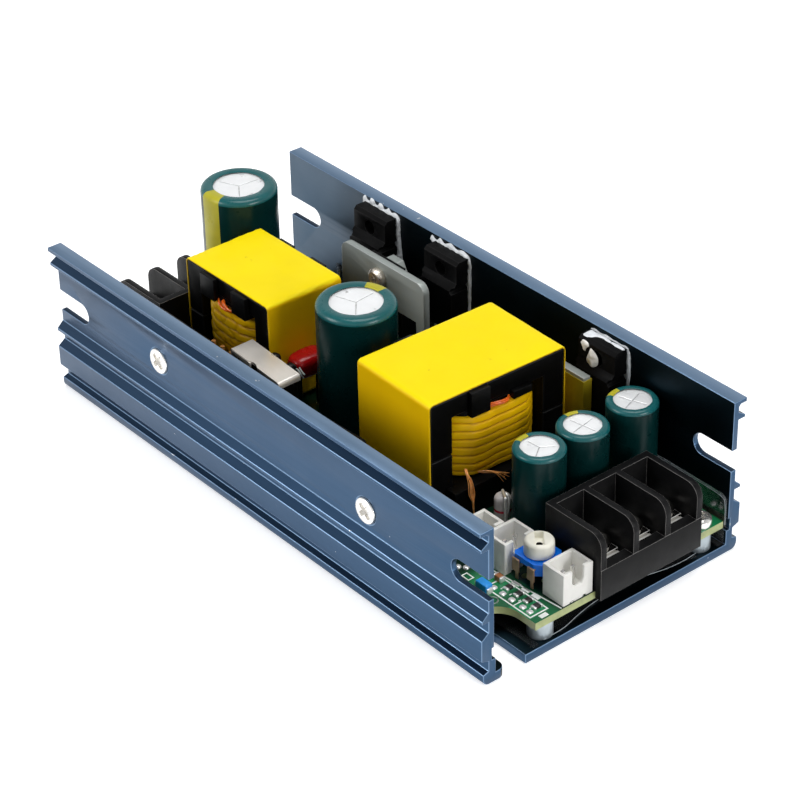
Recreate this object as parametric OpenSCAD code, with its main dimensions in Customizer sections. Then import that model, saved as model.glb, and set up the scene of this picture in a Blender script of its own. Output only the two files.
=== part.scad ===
// Open-frame power supply: a U-shaped extrusion that carries a board with wound parts, capacitors and terminals.
// Lengths are in millimetres. X runs along the extrusion to the output end, Z is up,
// and the origin is the middle of the underside.

/* [Chassis] */
// Length of the extrusion
body_l = 135; // [130:1:170]
// Width over the lips of the two walls
body_w = 66.6; // [66:0.2:80]
// Height of the walls
body_h = 34.3; // [34:0.1:44]
// Thickness of the side walls
wall_t = 1.3; // [1:0.1:1.6]
// Thickness of the base
base_t = 2; // [1.6:0.1:2.4]
// How far the lips and fins stand out of the walls
lip_out = 2; // [1.4:0.1:3]
// Thickness of the lip at its edge
lip_t = 0.9; // [0.6:0.1:1.4]
// Height of a fin where it leaves the wall
fin_root = 2; // [1.4:0.1:2.6]
// Height of a fin at its edge
fin_tip = 0.6; // [0.3:0.1:1]
// Distance of the upper fin below the top of the wall
upper_fin_drop = 4.3; // [3.8:0.1:6.3]
// Height of the lower fin above the table
lower_fin_z = 14.1; // [13:0.1:16]
// Height of the lower edge of the thick band
band_z = 5.8; // [4.5:0.1:7]
// Height of the thick band
band_h = 4.6; // [3:0.1:5]
// How far the thick band stands out of the wall
band_out = 1.7; // [1:0.1:2.4]
// Height of the foot along the outer bottom edge
foot_h = 2.5; // [1.8:0.1:3]
// How far the foot stands out of the wall
foot_out = 1.3; // [0.6:0.1:2]
// Radius of the outer bottom edge
foot_r = 1.4; // [0.6:0.1:1.8]
// Height of the bottom of the groove inside each wall
groove_z = 5.2; // [4:0.1:6]
// Height of the groove inside each wall
groove_h = 2.6; // [2:0.1:3]
// Depth of the groove inside each wall
groove_in = 0.5; // [0.2:0.1:0.7]
// How much thicker the wall is below the groove
skirt_in = 0.4; // [0.2:0.1:0.6]

/* [Mounting slots] */
// Width of the open slots in the wall ends
wall_slot_w = 4.7; // [3.4:0.1:5.5]
// Depth of the open slots in the wall ends
wall_slot_l = 10.2; // [7:0.1:11]
// Height of the middle of the wall slots
wall_slot_z = 21.1; // [19.5:0.1:22.5]
// Width of the open slots in the base
base_slot_w = 4.7; // [3.4:0.1:5.5]
// Depth of the open slots in the base
base_slot_l = 10.2; // [7:0.1:11]
// Distance of the base slots from the middle plane
base_slot_y = 24.7; // [24:0.1:25.5]
// Radius of the corner of the base strip beside a slot
base_strip_r = 1.8; // [0.5:0.1:2.5]

/* [Board] */
// Thickness of the board
board_t = 1.6; // [1.2:0.1:2]
// Height of the pillars under the board
pillar_h = 3.8; // [3.2:0.1:5]
// Gap between the board and each end of the extrusion
board_end_gap = 0.6; // [0.2:0.1:2]
// Radius of the cut-outs over the base slots
board_notch_r = 5.3; // [4.5:0.1:5.5]
// Distance of the cut-outs' centres from the board ends
board_notch_in = 4.5; // [3.5:0.1:5]
// Diameter of the pillars
pillar_d = 5; // [4.4:0.1:5.4]
// Diameter of the screws in the pillars and walls
screw_d = 2.9; // [2.4:0.1:3]
// Diameter of the board screws' heads
board_head_d = 5.2; // [4.8:0.1:5.4]
// Height of the board screws' heads
board_head_h = 1.9; // [1.2:0.1:2.4]
// Thickness of the clear sheet under the board
sheet_t = 0.25; // [0.15:0.05:0.5]
// Height of the sheet's flap beside the wall
flap_h = 11; // [8:0.5:14]

/* [Wall screws] */
// Diameter of the screw heads on the outer wall
wall_head_d = 5.6; // [5:0.1:6.2]
// How far those heads stand out
wall_head_proud = 0.4; // [0.2:0.1:0.8]
// Height of the countersink under those heads
wall_sink_h = 0.8; // [0.5:0.1:1]
// Distance of the near wall screw from the output end
near_screw_in = 34.4; // [33:0.1:36]
// Distance of the far wall screw from the input end
far_screw_in = 35.3; // [34:0.1:37]
// Width across the flats of the nuts
nut_w = 5.5; // [5:0.1:6]
// Height of the nuts
nut_h = 2.4; // [1.8:0.1:2.6]

/* [Power devices] */
// Width of a device body
device_w = 10.2; // [9.4:0.1:10.6]
// Height of a device body
device_h = 15.9; // [14:0.1:16.2]
// Thickness of a device body
device_t = 4.6; // [4:0.1:4.8]
// Thickness of a device at its screw hole
device_top_t = 3.2; // [2.6:0.1:3.6]
// Height of the thinner part round the hole
device_top_h = 6.2; // [5.4:0.1:6.8]
// Diameter of the hole in a device
device_hole_d = 3.2; // [3.1:0.1:3.5]
// Distance of that hole from the top of the device
device_hole_in = 3.1; // [2.6:0.1:3.5]
// Thickness of the paste between a device and its wall
paste_t = 0.3; // [0.1:0.05:0.5]
// Distance of the devices on the far wall below its top
device_top_drop = 1.3; // [0.7:0.1:3.3]
// Distance of the first transistor from the input end
transistor_a_in = 31.7; // [29:0.1:33]
// Distance of the second transistor from the output end
transistor_b_in = 80.4; // [79:0.1:82]
// Distance of the output rectifier from the output end
rectifier_in = 33.7; // [33:0.1:36]
// Spacing of the leads of a device
device_pitch = 2.54; // [2.3:0.02:2.6]
// Width of a device lead
device_lead_w = 0.8; // [0.6:0.05:1]

/* [Heat plate] */
// Length of the heat plate
plate_l = 26.6; // [24:0.1:28]
// Height of the plate without its legs
plate_h = 9.6; // [8:0.1:10.5]
// Thickness of the plate
plate_t = 1.6; // [1.2:0.1:1.8]
// Height of the top edge of the plate
plate_top_z = 30.2; // [29:0.1:31]
// Distance of the plate's middle from the output end
plate_in = 89.7; // [88.8:0.1:90.2]
// Distance of the plate's near face from the middle plane
plate_y = 18.6; // [18.2:0.1:18.8]
// Width of a plate leg
plate_leg_w = 2.6; // [2:0.1:3.4]
// Radius of the plate's upper corners
plate_r = 2.2; // [1:0.1:3]

/* [Main transformer] */
// Length of the core, across the board
main_l = 33.1; // [32:0.1:34]
// Depth of the core
main_d = 22; // [21:0.1:22.4]
// Height of the core
main_h = 25.3; // [22:0.1:26]
// Diameter of the winding space
main_window_d = 27.5; // [27:0.1:28]
// Width of the open face of the core
main_open_w = 22.6; // [20:0.1:23]
// Diameter of the centre post
main_post_d = 13.4; // [12:0.1:14]
// Thickness of the end plates of the core
main_plate_t = 4.4; // [3.8:0.1:4.8]
// Diameter of the winding
main_winding_d = 24; // [22:0.1:25]
// Distance of the core's middle from the output end
main_in = 47.4; // [46.8:0.1:47.6]
// Distance of the core's middle from the middle plane
main_y = 3.7; // [3.2:0.1:3.9]
// Turn of the transformer as fitted, in degrees
main_turn = -1.7; // [-2:0.1:0]

/* [Inductor] */
// Length of the core, along the board
coil_l = 26.8; // [26:0.1:27.2]
// Depth of the core
coil_d = 18.8; // [18:0.1:19]
// Height of the core
coil_h = 23.3; // [20:0.1:24.5]
// Diameter of the winding space
coil_window_d = 22.5; // [22:0.1:23]
// Width of the open face of the core
coil_open_w = 18; // [16:0.1:18.4]
// Diameter of the centre post
coil_post_d = 12; // [11:0.1:12.4]
// Thickness of the end plates of the core
coil_plate_t = 4; // [3.6:0.1:4.4]
// Diameter of the winding
coil_winding_d = 19.8; // [18:0.1:20.4]
// Distance of the core's middle from the input end
coil_in = 33.1; // [32.6:0.1:33.4]
// Distance of the core's middle from the middle plane
coil_y = -2.8; // [-3:0.1:-2.6]

/* [Wound parts] */
// Thickness of the tape round the cores
tape_t = 0.4; // [0.2:0.05:0.6]
// Height of the cores above the board
core_lift = 1.2; // [0.9:0.1:2]
// Thickness of the bobbin flanges
flange_t = 1; // [0.7:0.1:1.4]
// Thickness of the bobbin tube
tube_t = 0.9; // [0.6:0.1:1.2]
// How far the pin rails reach past the core
rail_out = 2.8; // [2:0.1:2.8]
// How much longer a rail is than the opening above it
rail_over = 3.6; // [2:0.1:3.6]
// How far the upper lugs stand out of the core's open face
lug_out = 1.1; // [0.6:0.1:1.6]
// Width of a lug
lug_w = 4.6; // [3:0.1:5]
// Distance from the middle of the opening to the middle of a lug
lug_step = 5.2; // [4.6:0.1:5.6]
// Diameter of the bobbin pins
pin_d = 0.8; // [0.6:0.05:1]
// Pins on each rail
rail_pins = 5; // [3:1:6]
// Ridges on a winding
winding_ridges = 7; // [4:1:10]
// Depth of the ridges on a winding
ridge_in = 0.45; // [0.2:0.05:0.7]
// Gap between the two halves of a core
core_gap = 0.15; // [0.05:0.05:0.3]

/* [Bulk capacitors] */
// Diameter of a bulk capacitor over its sleeve
bulk_d = 16.4; // [15.4:0.1:16.6]
// Height of a bulk capacitor
bulk_h = 30; // [25:0.5:35]
// Spacing of its leads
bulk_pitch = 7.5; // [6:0.5:8]
// Distance of the far bulk capacitor from the input end
bulk_far_in = 9.2; // [9:0.1:10]
// Distance of the far bulk capacitor from the middle plane
bulk_far_y = 9.4; // [9.3:0.1:10]
// Distance of the middle bulk capacitor from the output end
bulk_mid_in = 72.1; // [71.8:0.1:72.6]
// Distance of the middle bulk capacitor from the middle plane
bulk_mid_y = -2.3; // [-3:0.1:-2]

/* [Output capacitors] */
// Diameter of an output capacitor over its sleeve
small_d = 10.4; // [9.6:0.1:10.5]
// Height of an output capacitor
small_h = 20; // [16:0.5:24]
// Spacing of its leads
small_pitch = 5; // [4:0.5:5]
// Distance of the output capacitors from the output end
small_in = 21.4; // [21.2:0.1:21.8]
// Distance of the left output capacitor from the middle plane
small_left_y = 0.3; // [0:0.1:0.6]
// Distance of the middle output capacitor from the middle plane
small_middle_y = 11.4; // [11.2:0.1:12]
// Distance of the right output capacitor from the wall
small_right_gap = 0.05; // [0.05:0.05:0.7]
// Thickness of the capacitor sleeves
sleeve_t = 0.25; // [0.15:0.05:0.4]

/* [Terminal blocks] */
// Cells of the output block
output_cells = 3; // [2:1:3]
// Pitch of the output block
output_pitch = 8.25; // [8:0.05:8.3]
// Distance of the output block's middle from the middle plane
output_y = 8.5; // [8.2:0.1:8.8]
// Cells of the input block
input_cells = 2; // [1:1:2]
// Pitch of the input block
input_pitch = 7.62; // [7.4:0.02:7.7]
// Distance of the input block's middle from the middle plane
input_y = -7.9; // [-8.2:0.1:-7.8]
// Depth of a block from its back to its front
block_d = 15.3; // [14.9:0.1:15.5]
// Height of a block above the board
block_h = 12.9; // [12:0.1:14]
// How far a block stands past the edge of the board
block_over = 1.6; // [1.5:0.1:2]
// Thickness of the walls between the cells
divider_t = 1.4; // [1.1:0.1:1.6]
// Thickness of the back wall of a block
block_back_t = 1.6; // [1.2:0.1:2]
// Height of the floor of a cell
cell_floor_h = 3.6; // [3:0.1:4]
// Height of the ledge along the front
ledge_h = 5.4; // [4.8:0.1:6]
// Depth of the ledge along the front
ledge_d = 2.4; // [1.8:0.1:2.6]
// Radius of the dividers' front corners
divider_r = 3; // [1.5:0.1:4]
// Diameter of the terminal screws' heads
terminal_head_d = 5.8; // [5:0.1:5.9]
// Height of the terminal screws' heads
terminal_head_h = 2.2; // [1.6:0.1:2.8]
// Side of the square washers
terminal_washer_w = 6; // [5.9:0.05:6]
// Thickness of the square washers
terminal_washer_t = 0.8; // [0.5:0.1:1]

/* [Sockets] */
// Width of a two-pin socket
socket_w = 7.4; // [7:0.1:7.5]
// Depth of a two-pin socket
socket_d = 5.7; // [5.4:0.1:5.8]
// Height of a two-pin socket
socket_h = 7; // [6.4:0.1:8]
// Thickness of its walls
socket_wall = 0.7; // [0.5:0.05:0.85]
// Spacing of its pins
socket_pitch = 2.5; // [2.4:0.02:2.54]
// Side of a socket pin
socket_pin_w = 0.64; // [0.5:0.02:0.7]
// Distance of the near socket from the output end
socket_near_in = 3.7; // [3.7:0.1:3.8]
// Distance of the near socket from the middle plane
socket_near_y = -8.6; // [-8.6:0.1:-8.5]
// Distance of the middle socket from the output end
socket_middle_in = 18; // [17.9:0.1:18.1]
// Distance of the middle socket from the middle plane
socket_middle_y = -10.2; // [-10.4:0.1:-10.1]
// Distance of the far socket from the output end
socket_far_in = 23.9; // [23.9:0.1:24.2]
// Distance of the far socket from the middle plane
socket_far_y = -12.5; // [-13:0.1:-12.4]

/* [Trimmer] */
// Side of the trimmer's body
trimmer_w = 7.1; // [6.8:0.05:7.1]
// Height of the trimmer's body
trimmer_h = 2.6; // [2.2:0.1:3]
// Height of the trimmer's top above the board
trimmer_top = 5.6; // [5:0.1:6.4]
// Diameter of the rotor
rotor_d = 5.9; // [5:0.1:6.4]
// Height of the rotor above the body
rotor_h = 3.1; // [2.4:0.1:3.4]
// Diameter of the rotor's stem
rotor_stem_d = 2.4; // [2:0.1:3]
// Distance of the trimmer from the output end
trimmer_in = 10.85; // [10.8:0.05:10.9]
// Distance of the trimmer from the middle plane
trimmer_y = -9.2; // [-9.4:0.1:-9]

/* [Small parts] */
// Length of the clip over the bridge rectifier
clip_l = 16; // [14:0.1:16.4]
// Width of the clip
clip_w = 5.2; // [4.6:0.1:5.4]
// Thickness of the clip's strip
clip_t = 0.8; // [0.5:0.1:1]
// Height of the clip's top
clip_top_z = 24.6; // [22:0.1:26]
// Distance of the clip's middle from the input end
clip_in = 51.3; // [51:0.1:51.6]
// Distance of the clip's middle from the middle plane
clip_y = -16.6; // [-17:0.1:-16.4]
// Length of the filter capacitor
filter_l = 18; // [15:0.1:18.4]
// Width of the filter capacitor
filter_w = 9; // [8:0.1:9.2]
// Height of the filter capacitor and the snubber
filter_h = 12.6; // [10:0.1:14]
// Distance of the filter capacitor's middle from the input end
filter_in = 23.4; // [23.2:0.1:23.8]
// Length of the snubber capacitor
snubber_l = 15.6; // [13:0.1:16]
// Distance of the snubber's middle from the output end
snubber_in = 60.9; // [60.4:0.1:61.4]
// Distance of both boxes from the middle plane
filter_y = -20.3; // [-20.4:0.1:-20.2]
// Turn of the snubber as fitted, in degrees
snubber_turn = 3; // [0:0.5:4]
// Width of the dipped film capacitor
film_w = 9; // [7:0.1:9.2]
// Thickness of the dipped film capacitor
film_t = 5.8; // [4.6:0.1:6]
// Height of the dipped film capacitor
film_h = 12.8; // [10:0.1:14]
// Diameter of the sleeved leads
tube_lead_d = 2.6; // [2:0.1:2.8]
// Height of the sleeved leads
tube_lead_h = 15.2; // [12:0.1:17]
// Diameter of the diode
diode_d = 3.4; // [2.6:0.1:3.4]
// Length of the diode's body
diode_h = 5.4; // [4.6:0.1:6.4]
// Height of the diode's body above the board
diode_lift = 2.2; // [2:0.1:4]
// Diameter of the diode's lead
diode_lead_d = 0.7; // [0.5:0.05:0.8]
// Length of the side plate
side_plate_l = 10.2; // [8:0.1:10.6]
// Thickness of the side plate
side_plate_t = 1.8; // [1.2:0.1:1.9]
// Height of the side plate
side_plate_h = 19.6; // [17:0.1:22]

/* [Hidden] */
$fn = 48;

// Overrun of every cut, and the clearances that the fits share
overrun = 0.5;
fit_gap = 0.1;
stem_gap = 0.05;
hole_gap = 0.15;
lead_tail = 0.8;

// Levels and half widths that the pieces share
wall_outer = body_w / 2 - lip_out;
upper_fin_z = body_h - upper_fin_drop;
device_top_z = body_h - device_top_drop;
wall_inner = wall_outer - wall_t;
skirt_inner = wall_inner - skirt_in;
board_bottom = base_t + pillar_h;
board_top = board_bottom + board_t;
board_l = body_l - 2 * board_end_gap;
film_low_y = skirt_inner - stem_gap - sheet_t;
film_high_y = wall_inner - stem_gap - sheet_t;
board_w = 2 * (film_low_y - fit_gap);
half_turn = 180;
near_end = body_l / 2;
far_end = -body_l / 2;

// Shares that shape the fins, the thick band and the lip
fin_slope_share = 0.85;
band_slope_share = 0.75;
band_under_share = 0.35;

// Places of the pillars: [distance from the end, distance from the middle plane] for the output and input ends
pillar_edge = 3.3;
pillar_y_near = 15.8;
pillar_y_wall = 25.2;
pillar_far_in = 17.4;
pillar_far_y = 26;

// One side of the extrusion in section, from the middle plane outwards
module half_section() {
    fin_slope = fin_root * fin_slope_share;
    band_slope = band_out * band_slope_share;
    band_under = band_out * band_under_share;
    foot_u = wall_outer + foot_out;
    difference() {
        polygon([
            [0, 0],
            [foot_u, 0],
            [foot_u, foot_h],
            [wall_outer, foot_h + foot_out * band_under_share],
            [wall_outer, band_z - band_under],
            [wall_outer + band_out, band_z],
            [wall_outer + band_out, band_z + band_h],
            [wall_outer, band_z + band_h + band_slope],
            [wall_outer, lower_fin_z],
            [wall_outer + lip_out - lip_t / 2, lower_fin_z],
            [wall_outer + lip_out - lip_t / 2, lower_fin_z + fin_tip],
            [wall_outer, lower_fin_z + fin_root],
            [wall_outer, upper_fin_z],
            [wall_outer + lip_out - lip_t / 4, upper_fin_z],
            [wall_outer + lip_out - lip_t / 4, upper_fin_z + fin_tip],
            [wall_outer, upper_fin_z + fin_slope],
            [wall_outer, body_h - lip_t - lip_t / 2],
            [wall_outer + lip_t / 2, body_h - lip_t],
            [wall_outer + lip_out, body_h - lip_t],
            [wall_outer + lip_out, body_h],
            [wall_inner, body_h],
            [wall_inner, groove_z + groove_h],
            [wall_inner + groove_in, groove_z + groove_h],
            [wall_inner + groove_in, groove_z],
            [skirt_inner, groove_z],
            [skirt_inner, base_t],
            [0, base_t]
        ]);
        // The outer bottom edge is rounded
        difference() {
            translate([foot_u - foot_r, -overrun]) square([foot_r + overrun, foot_r + overrun]);
            translate([foot_u - foot_r, foot_r]) circle(foot_r);
        }
    }
}

// Open slot that runs out of the end of a plate: along X, centred on the origin of its round end
module open_slot(width, depth, height) {
    cylinder(h = height, d = width);
    translate([0, -width / 2, 0]) cube([depth - width / 2 + overrun, width, height]);
}

module wall_slots() {
    for (end = [0, half_turn]) rotate([0, 0, end])
        translate([near_end - wall_slot_l + wall_slot_w / 2, body_w / 2 + overrun, wall_slot_z])
            rotate([90, 0, 0]) open_slot(wall_slot_w, wall_slot_l, body_w + 2 * overrun);
}

module base_slots() {
    for (end = [0, half_turn]) rotate([0, 0, end]) {
        translate([near_end - base_slot_l + base_slot_w / 2, -base_slot_y, -overrun])
            open_slot(base_slot_w, base_slot_l, base_t + 2 * overrun);
        // The strip that is left beside the slot has a round corner
        translate([near_end, -base_slot_y - base_slot_w / 2, -overrun]) difference() {
            translate([-base_strip_r, -base_strip_r, 0])
                cube([base_strip_r + overrun, base_strip_r + overrun, base_t + 2 * overrun]);
            translate([-base_strip_r, -base_strip_r, -overrun])
                cylinder(h = base_t + 4 * overrun, r = base_strip_r);
        }
    }
}

// The two screws through the wall at -Y: [x, height of the screw]
wall_screw_drop = 0;
near_device_top = board_top + device_h + fit_gap;
far_device_top = 25.5;
wall_screw_places = [
    [near_end - near_screw_in, near_device_top - device_hole_in - wall_screw_drop],
    [far_end + far_screw_in, far_device_top - device_hole_in - wall_screw_drop]
];

module at_wall_screws() {
    for (place = wall_screw_places)
        translate([place[0], -wall_outer, place[1]]) rotate([90, 0, 0]) children();
}

module chassis() color([0.33, 0.43, 0.55]) difference() {
    rotate([90, 0, 90]) linear_extrude(body_l, center = true) {
        half_section();
        mirror([1, 0]) half_section();
    }
    wall_slots();
    base_slots();
    at_wall_screws() {
        translate([0, 0, -wall_t - overrun]) cylinder(h = wall_t + 2 * overrun, d = screw_d + 2 * hole_gap);
        translate([0, 0, -wall_sink_h])
            cylinder(h = wall_sink_h, d1 = screw_d + 2 * hole_gap, d2 = wall_head_d + 2 * hole_gap);
    }
}

// Pillars: the pair at the output end, then the pair at the input end
pillar_places = [
    [near_end - pillar_edge, -pillar_y_near],
    [near_end - pillar_edge, pillar_y_wall],
    [far_end + pillar_edge, -pillar_y_wall],
    [far_end + pillar_far_in, pillar_far_y]
];
// The pillar under the chip parts carries no screw
screwed_pillars = [1, 2, 3];

// The sheet's front edge is bowed in, and the flap's upper corner is round
sheet_bow = 2.6;
sheet_bow_w = 36;
sheet_bow_y = 5;
flap_r = 1.6;
module insulating_sheet() color([0.85, 0.88, 0.9, 0.4]) {
    flap_l = board_l - base_slot_l - base_slot_w;
    step_z = groove_z + film_high_y - film_low_y;
    bow_r = (sheet_bow_w * sheet_bow_w / 4 + sheet_bow * sheet_bow) / (2 * sheet_bow);
    translate([0, 0, base_t]) linear_extrude(sheet_t) difference() {
        translate([-board_l / 2, -base_slot_y + base_slot_w])
            square([board_l, film_low_y + sheet_t + base_slot_y - base_slot_w]);
        for (place = pillar_places) translate(place) {
            circle(d = pillar_d + 4 * fit_gap);
            if (place[0] > 0) translate([0, -pillar_d / 2 - 2 * fit_gap])
                square([pillar_edge + overrun, pillar_d + 4 * fit_gap]);
        }
        translate([-board_l / 2 - overrun, base_slot_y - base_slot_w])
            square([base_slot_l + overrun, body_w / 2]);
        translate([board_l / 2 + bow_r - sheet_bow, sheet_bow_y]) circle(bow_r, $fn = 180);
    }
    // The flap steps out over the groove, to the wall above it
    translate([board_l / 2 - flap_l, 0, 0]) intersection() {
        rotate([90, 0, 90]) linear_extrude(flap_l) polygon([
            [film_low_y, base_t],
            [film_low_y + sheet_t, base_t],
            [film_low_y + sheet_t, groove_z],
            [film_high_y + sheet_t, step_z],
            [film_high_y + sheet_t, base_t + flap_h],
            [film_high_y, base_t + flap_h],
            [film_high_y, step_z + sheet_t / 2],
            [film_low_y, groove_z + sheet_t / 2]
        ]);
        translate([0, body_w / 2, base_t]) rotate([90, 0, 0]) linear_extrude(body_w / 2) {
            square([flap_l - flap_r, flap_h]);
            square([flap_l, flap_h - flap_r]);
            translate([flap_l - flap_r, flap_h - flap_r]) circle(flap_r);
        }
    }
}

module standoffs() color([0.72, 0.73, 0.74]) for (place = pillar_places)
    translate([place[0], place[1], base_t]) difference() {
        cylinder(h = pillar_h, d = pillar_d);
        translate([0, 0, fit_gap]) cylinder(h = pillar_h + overrun, d = screw_d + 2 * stem_gap);
    }

// A pan head with a cross recess, its seat at z = 0
module pan_head(diameter, height) {
    crown_share = 0.72;
    recess_share = 0.55;
    recess_w_share = 0.16;
    difference() {
        union() {
            cylinder(h = height * crown_share, d = diameter);
            translate([0, 0, height * crown_share])
                cylinder(h = height - height * crown_share, d1 = diameter, d2 = diameter * crown_share);
        }
        for (turn = [0, 90]) rotate([0, 0, turn])
            translate([-diameter * recess_share / 2, -diameter * recess_w_share / 2, height * recess_share])
                cube([diameter * recess_share, diameter * recess_w_share, height]);
    }
}

module board_screws() color([0.78, 0.78, 0.78]) for (index = screwed_pillars)
    translate([pillar_places[index][0], pillar_places[index][1], board_top]) {
        pan_head(board_head_d, board_head_h);
        translate([0, 0, -board_t - pillar_h / 2]) cylinder(h = board_t + pillar_h / 2, d = screw_d);
    }

module wall_screws() color([0.8, 0.79, 0.76]) at_wall_screws() {
    shank = wall_t + paste_t + device_top_t + nut_h + fit_gap;
    crown = wall_head_proud;
    cross_share = 0.62;
    cross_w_share = 0.17;
    difference() {
        union() {
            translate([0, 0, -wall_sink_h]) cylinder(h = wall_sink_h, d1 = screw_d, d2 = wall_head_d);
            cylinder(h = crown, d1 = wall_head_d, d2 = wall_head_d - crown);
            translate([0, 0, -shank]) cylinder(h = shank, d = screw_d);
        }
        for (turn = [45, 135]) rotate([0, 0, turn])
            translate([-wall_head_d * cross_share / 2, -wall_head_d * cross_w_share / 2, -crown])
                cube([wall_head_d * cross_share, wall_head_d * cross_w_share, crown + 2 * overrun]);
    }
}

hex_corner_share = 2 / sqrt(3);
module hex_nut() difference() {
    cylinder(h = nut_h, d = nut_w * hex_corner_share, $fn = 6);
    translate([0, 0, -overrun]) cylinder(h = nut_h + 2 * overrun, d = screw_d + 2 * stem_gap);
}

module hex_nuts() color([0.75, 0.74, 0.7]) {
    at_wall_screws() translate([0, 0, -wall_t - paste_t - device_top_t - nut_h]) hex_nut();
    at_plate_screw() translate([0, 0, plate_t + tab_t]) hex_nut();
}

// A moulded power device: back at y = 0, front at -Y, foot at z = 0
module power_device(top_h = device_top_h) difference() {
    bevel = device_t - device_top_t;
    union() {
        rotate([90, 0, 90]) translate([0, 0, -device_w / 2]) linear_extrude(device_w) polygon([
            [0, 0],
            [-device_t, 0],
            [-device_t, device_h - top_h],
            [-device_top_t, device_h - top_h + bevel],
            [-device_top_t, device_h - bevel / 2],
            [-device_top_t + bevel / 2, device_h],
            [0, device_h]
        ]);
    }
    translate([0, overrun, device_h - device_hole_in])
        rotate([90, 0, 0]) cylinder(h = device_t + 2 * overrun, d = device_hole_d);
    for (side = [-1, 1]) translate([side * device_w / 2, -device_t / 2, device_h - top_h])
        rotate([90, 0, 0]) cylinder(h = device_t + 2 * overrun, r = bevel / 2, center = true);
}

// Devices on the far wall: [x, height of the foot]
far_wall_foot = device_top_z - device_h;
far_wall_places = [
    [far_end + transistor_a_in, far_wall_foot],
    [near_end - transistor_b_in, far_wall_foot],
    [near_end - rectifier_in, far_wall_foot]
];
near_wall_places = [
    [wall_screw_places[0][0], near_device_top - device_h],
    [wall_screw_places[1][0], far_device_top - device_h]
];

module at_far_wall(index) translate([far_wall_places[index][0], wall_inner - paste_t, far_wall_places[index][1]])
    children();

module at_near_wall(index)
    translate([near_wall_places[index][0], -wall_inner + paste_t, near_wall_places[index][1]])
        rotate([0, 0, 180]) children();

nut_shoulder_h = device_hole_in + nut_w / 2 + device_t - device_top_t + fit_gap;
module near_wall_devices() color([0.08, 0.08, 0.09]) for (index = [0, 1])
    at_near_wall(index) power_device(nut_shoulder_h);
module power_transistor_a() color([0.08, 0.08, 0.09]) at_far_wall(0) power_device();
module power_transistor_b() color([0.08, 0.08, 0.09]) at_far_wall(1) power_device();
module output_rectifier() color([0.08, 0.08, 0.09]) at_far_wall(2) power_device();

// Paste squeezed out round the backs of the devices
paste_spread = 0.7;
module paste_pad() translate([-device_w / 2 - paste_spread, 0, device_h / 3])
    cube([device_w + 2 * paste_spread, paste_t, device_h - device_h / 3 + paste_spread]);

module thermal_paste() color([0.86, 0.86, 0.84]) difference() {
    union() {
        for (index = [0, 1, 2]) at_far_wall(index) paste_pad();
        for (index = [0, 1]) at_near_wall(index) paste_pad();
    }
    at_wall_screws() translate([0, 0, -wall_t - paste_t - overrun])
        cylinder(h = wall_t + paste_t + 2 * overrun, d = screw_d + 2 * hole_gap);
}

// Places of device leads, from the middle of the back of a device
device_lead_y = -device_t / 2;
module device_lead_row() for (step = [-1, 0, 1])
    translate([step * device_pitch, device_lead_y, 0]) children();

// A flat lead from a foot at the given height down through the board
module flat_lead(foot) translate([-device_lead_w / 2, -device_lead_w / 4, board_bottom - lead_tail - foot])
    cube([device_lead_w, device_lead_w / 2, foot - board_bottom + lead_tail]);

module lead_drill() translate([0, 0, board_bottom - overrun])
    cylinder(h = board_t + 2 * overrun, d = device_lead_w + 2 * hole_gap);

module device_leads() color([0.75, 0.75, 0.75]) {
    for (index = [0, 1, 2]) at_far_wall(index) device_lead_row() flat_lead(far_wall_places[index][1]);
    at_plate_device() device_lead_row() flat_lead(plate_foot_z);
    for (step = [-1, 0, 1, 2]) translate([bridge_x + (step - 1 / 2) * bridge_pitch, bridge_y, bridge_foot])
        flat_lead(bridge_foot);
    diode_lead();
    at_film() translate([0, 0, board_top + film_seat]) flat_lead(board_top + film_seat);
}

module device_drills() {
    for (index = [0, 1, 2]) translate([far_wall_places[index][0], wall_inner - paste_t, 0])
        device_lead_row() lead_drill();
    translate([plate_device_x, plate_back, 0]) rotate([0, 0, 180]) device_lead_row() lead_drill();
    for (step = [-1, 0, 1, 2]) translate([bridge_x + (step - 1 / 2) * bridge_pitch, bridge_y, 0]) lead_drill();
    at_film() lead_drill();
}

// The heat plate stands on two legs beside the devices of the far wall
plate_x = near_end - plate_in;
plate_back = plate_y + plate_t;
tab_t = 1.3;
plate_screw_off = 0.9;
plate_device_x = plate_x - plate_screw_off;
plate_foot_z = 13;
plate_screw_z = 26.4;
plate_head_h = 1.6;
plate_head_d = 4.4;

module at_plate_screw() translate([plate_device_x, plate_y, plate_screw_z]) rotate([-90, 0, 0]) children();
module at_plate_device() translate([plate_device_x, plate_back, plate_foot_z]) rotate([0, 0, 180]) children();

module heat_plate() color([0.62, 0.63, 0.61]) difference() {
    translate([plate_x, plate_back, 0]) rotate([90, 0, 0]) linear_extrude(plate_t) {
        translate([-plate_l / 2, plate_top_z - plate_h]) square([plate_l, plate_h - plate_r]);
        translate([-plate_l / 2 + plate_r, plate_top_z - plate_h]) square([plate_l - 2 * plate_r, plate_h]);
        for (side = [-1, 1]) {
            translate([side * (plate_l / 2 - plate_r), plate_top_z - plate_r]) circle(plate_r);
            translate([side * (plate_l - plate_leg_w) / 2 - plate_leg_w / 2, board_top])
                square([plate_leg_w, plate_top_z - plate_h - board_top + plate_r]);
        }
    }
    at_plate_screw() translate([0, 0, -overrun])
        cylinder(h = plate_t + 2 * overrun, d = screw_d + 2 * hole_gap);
}

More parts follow.
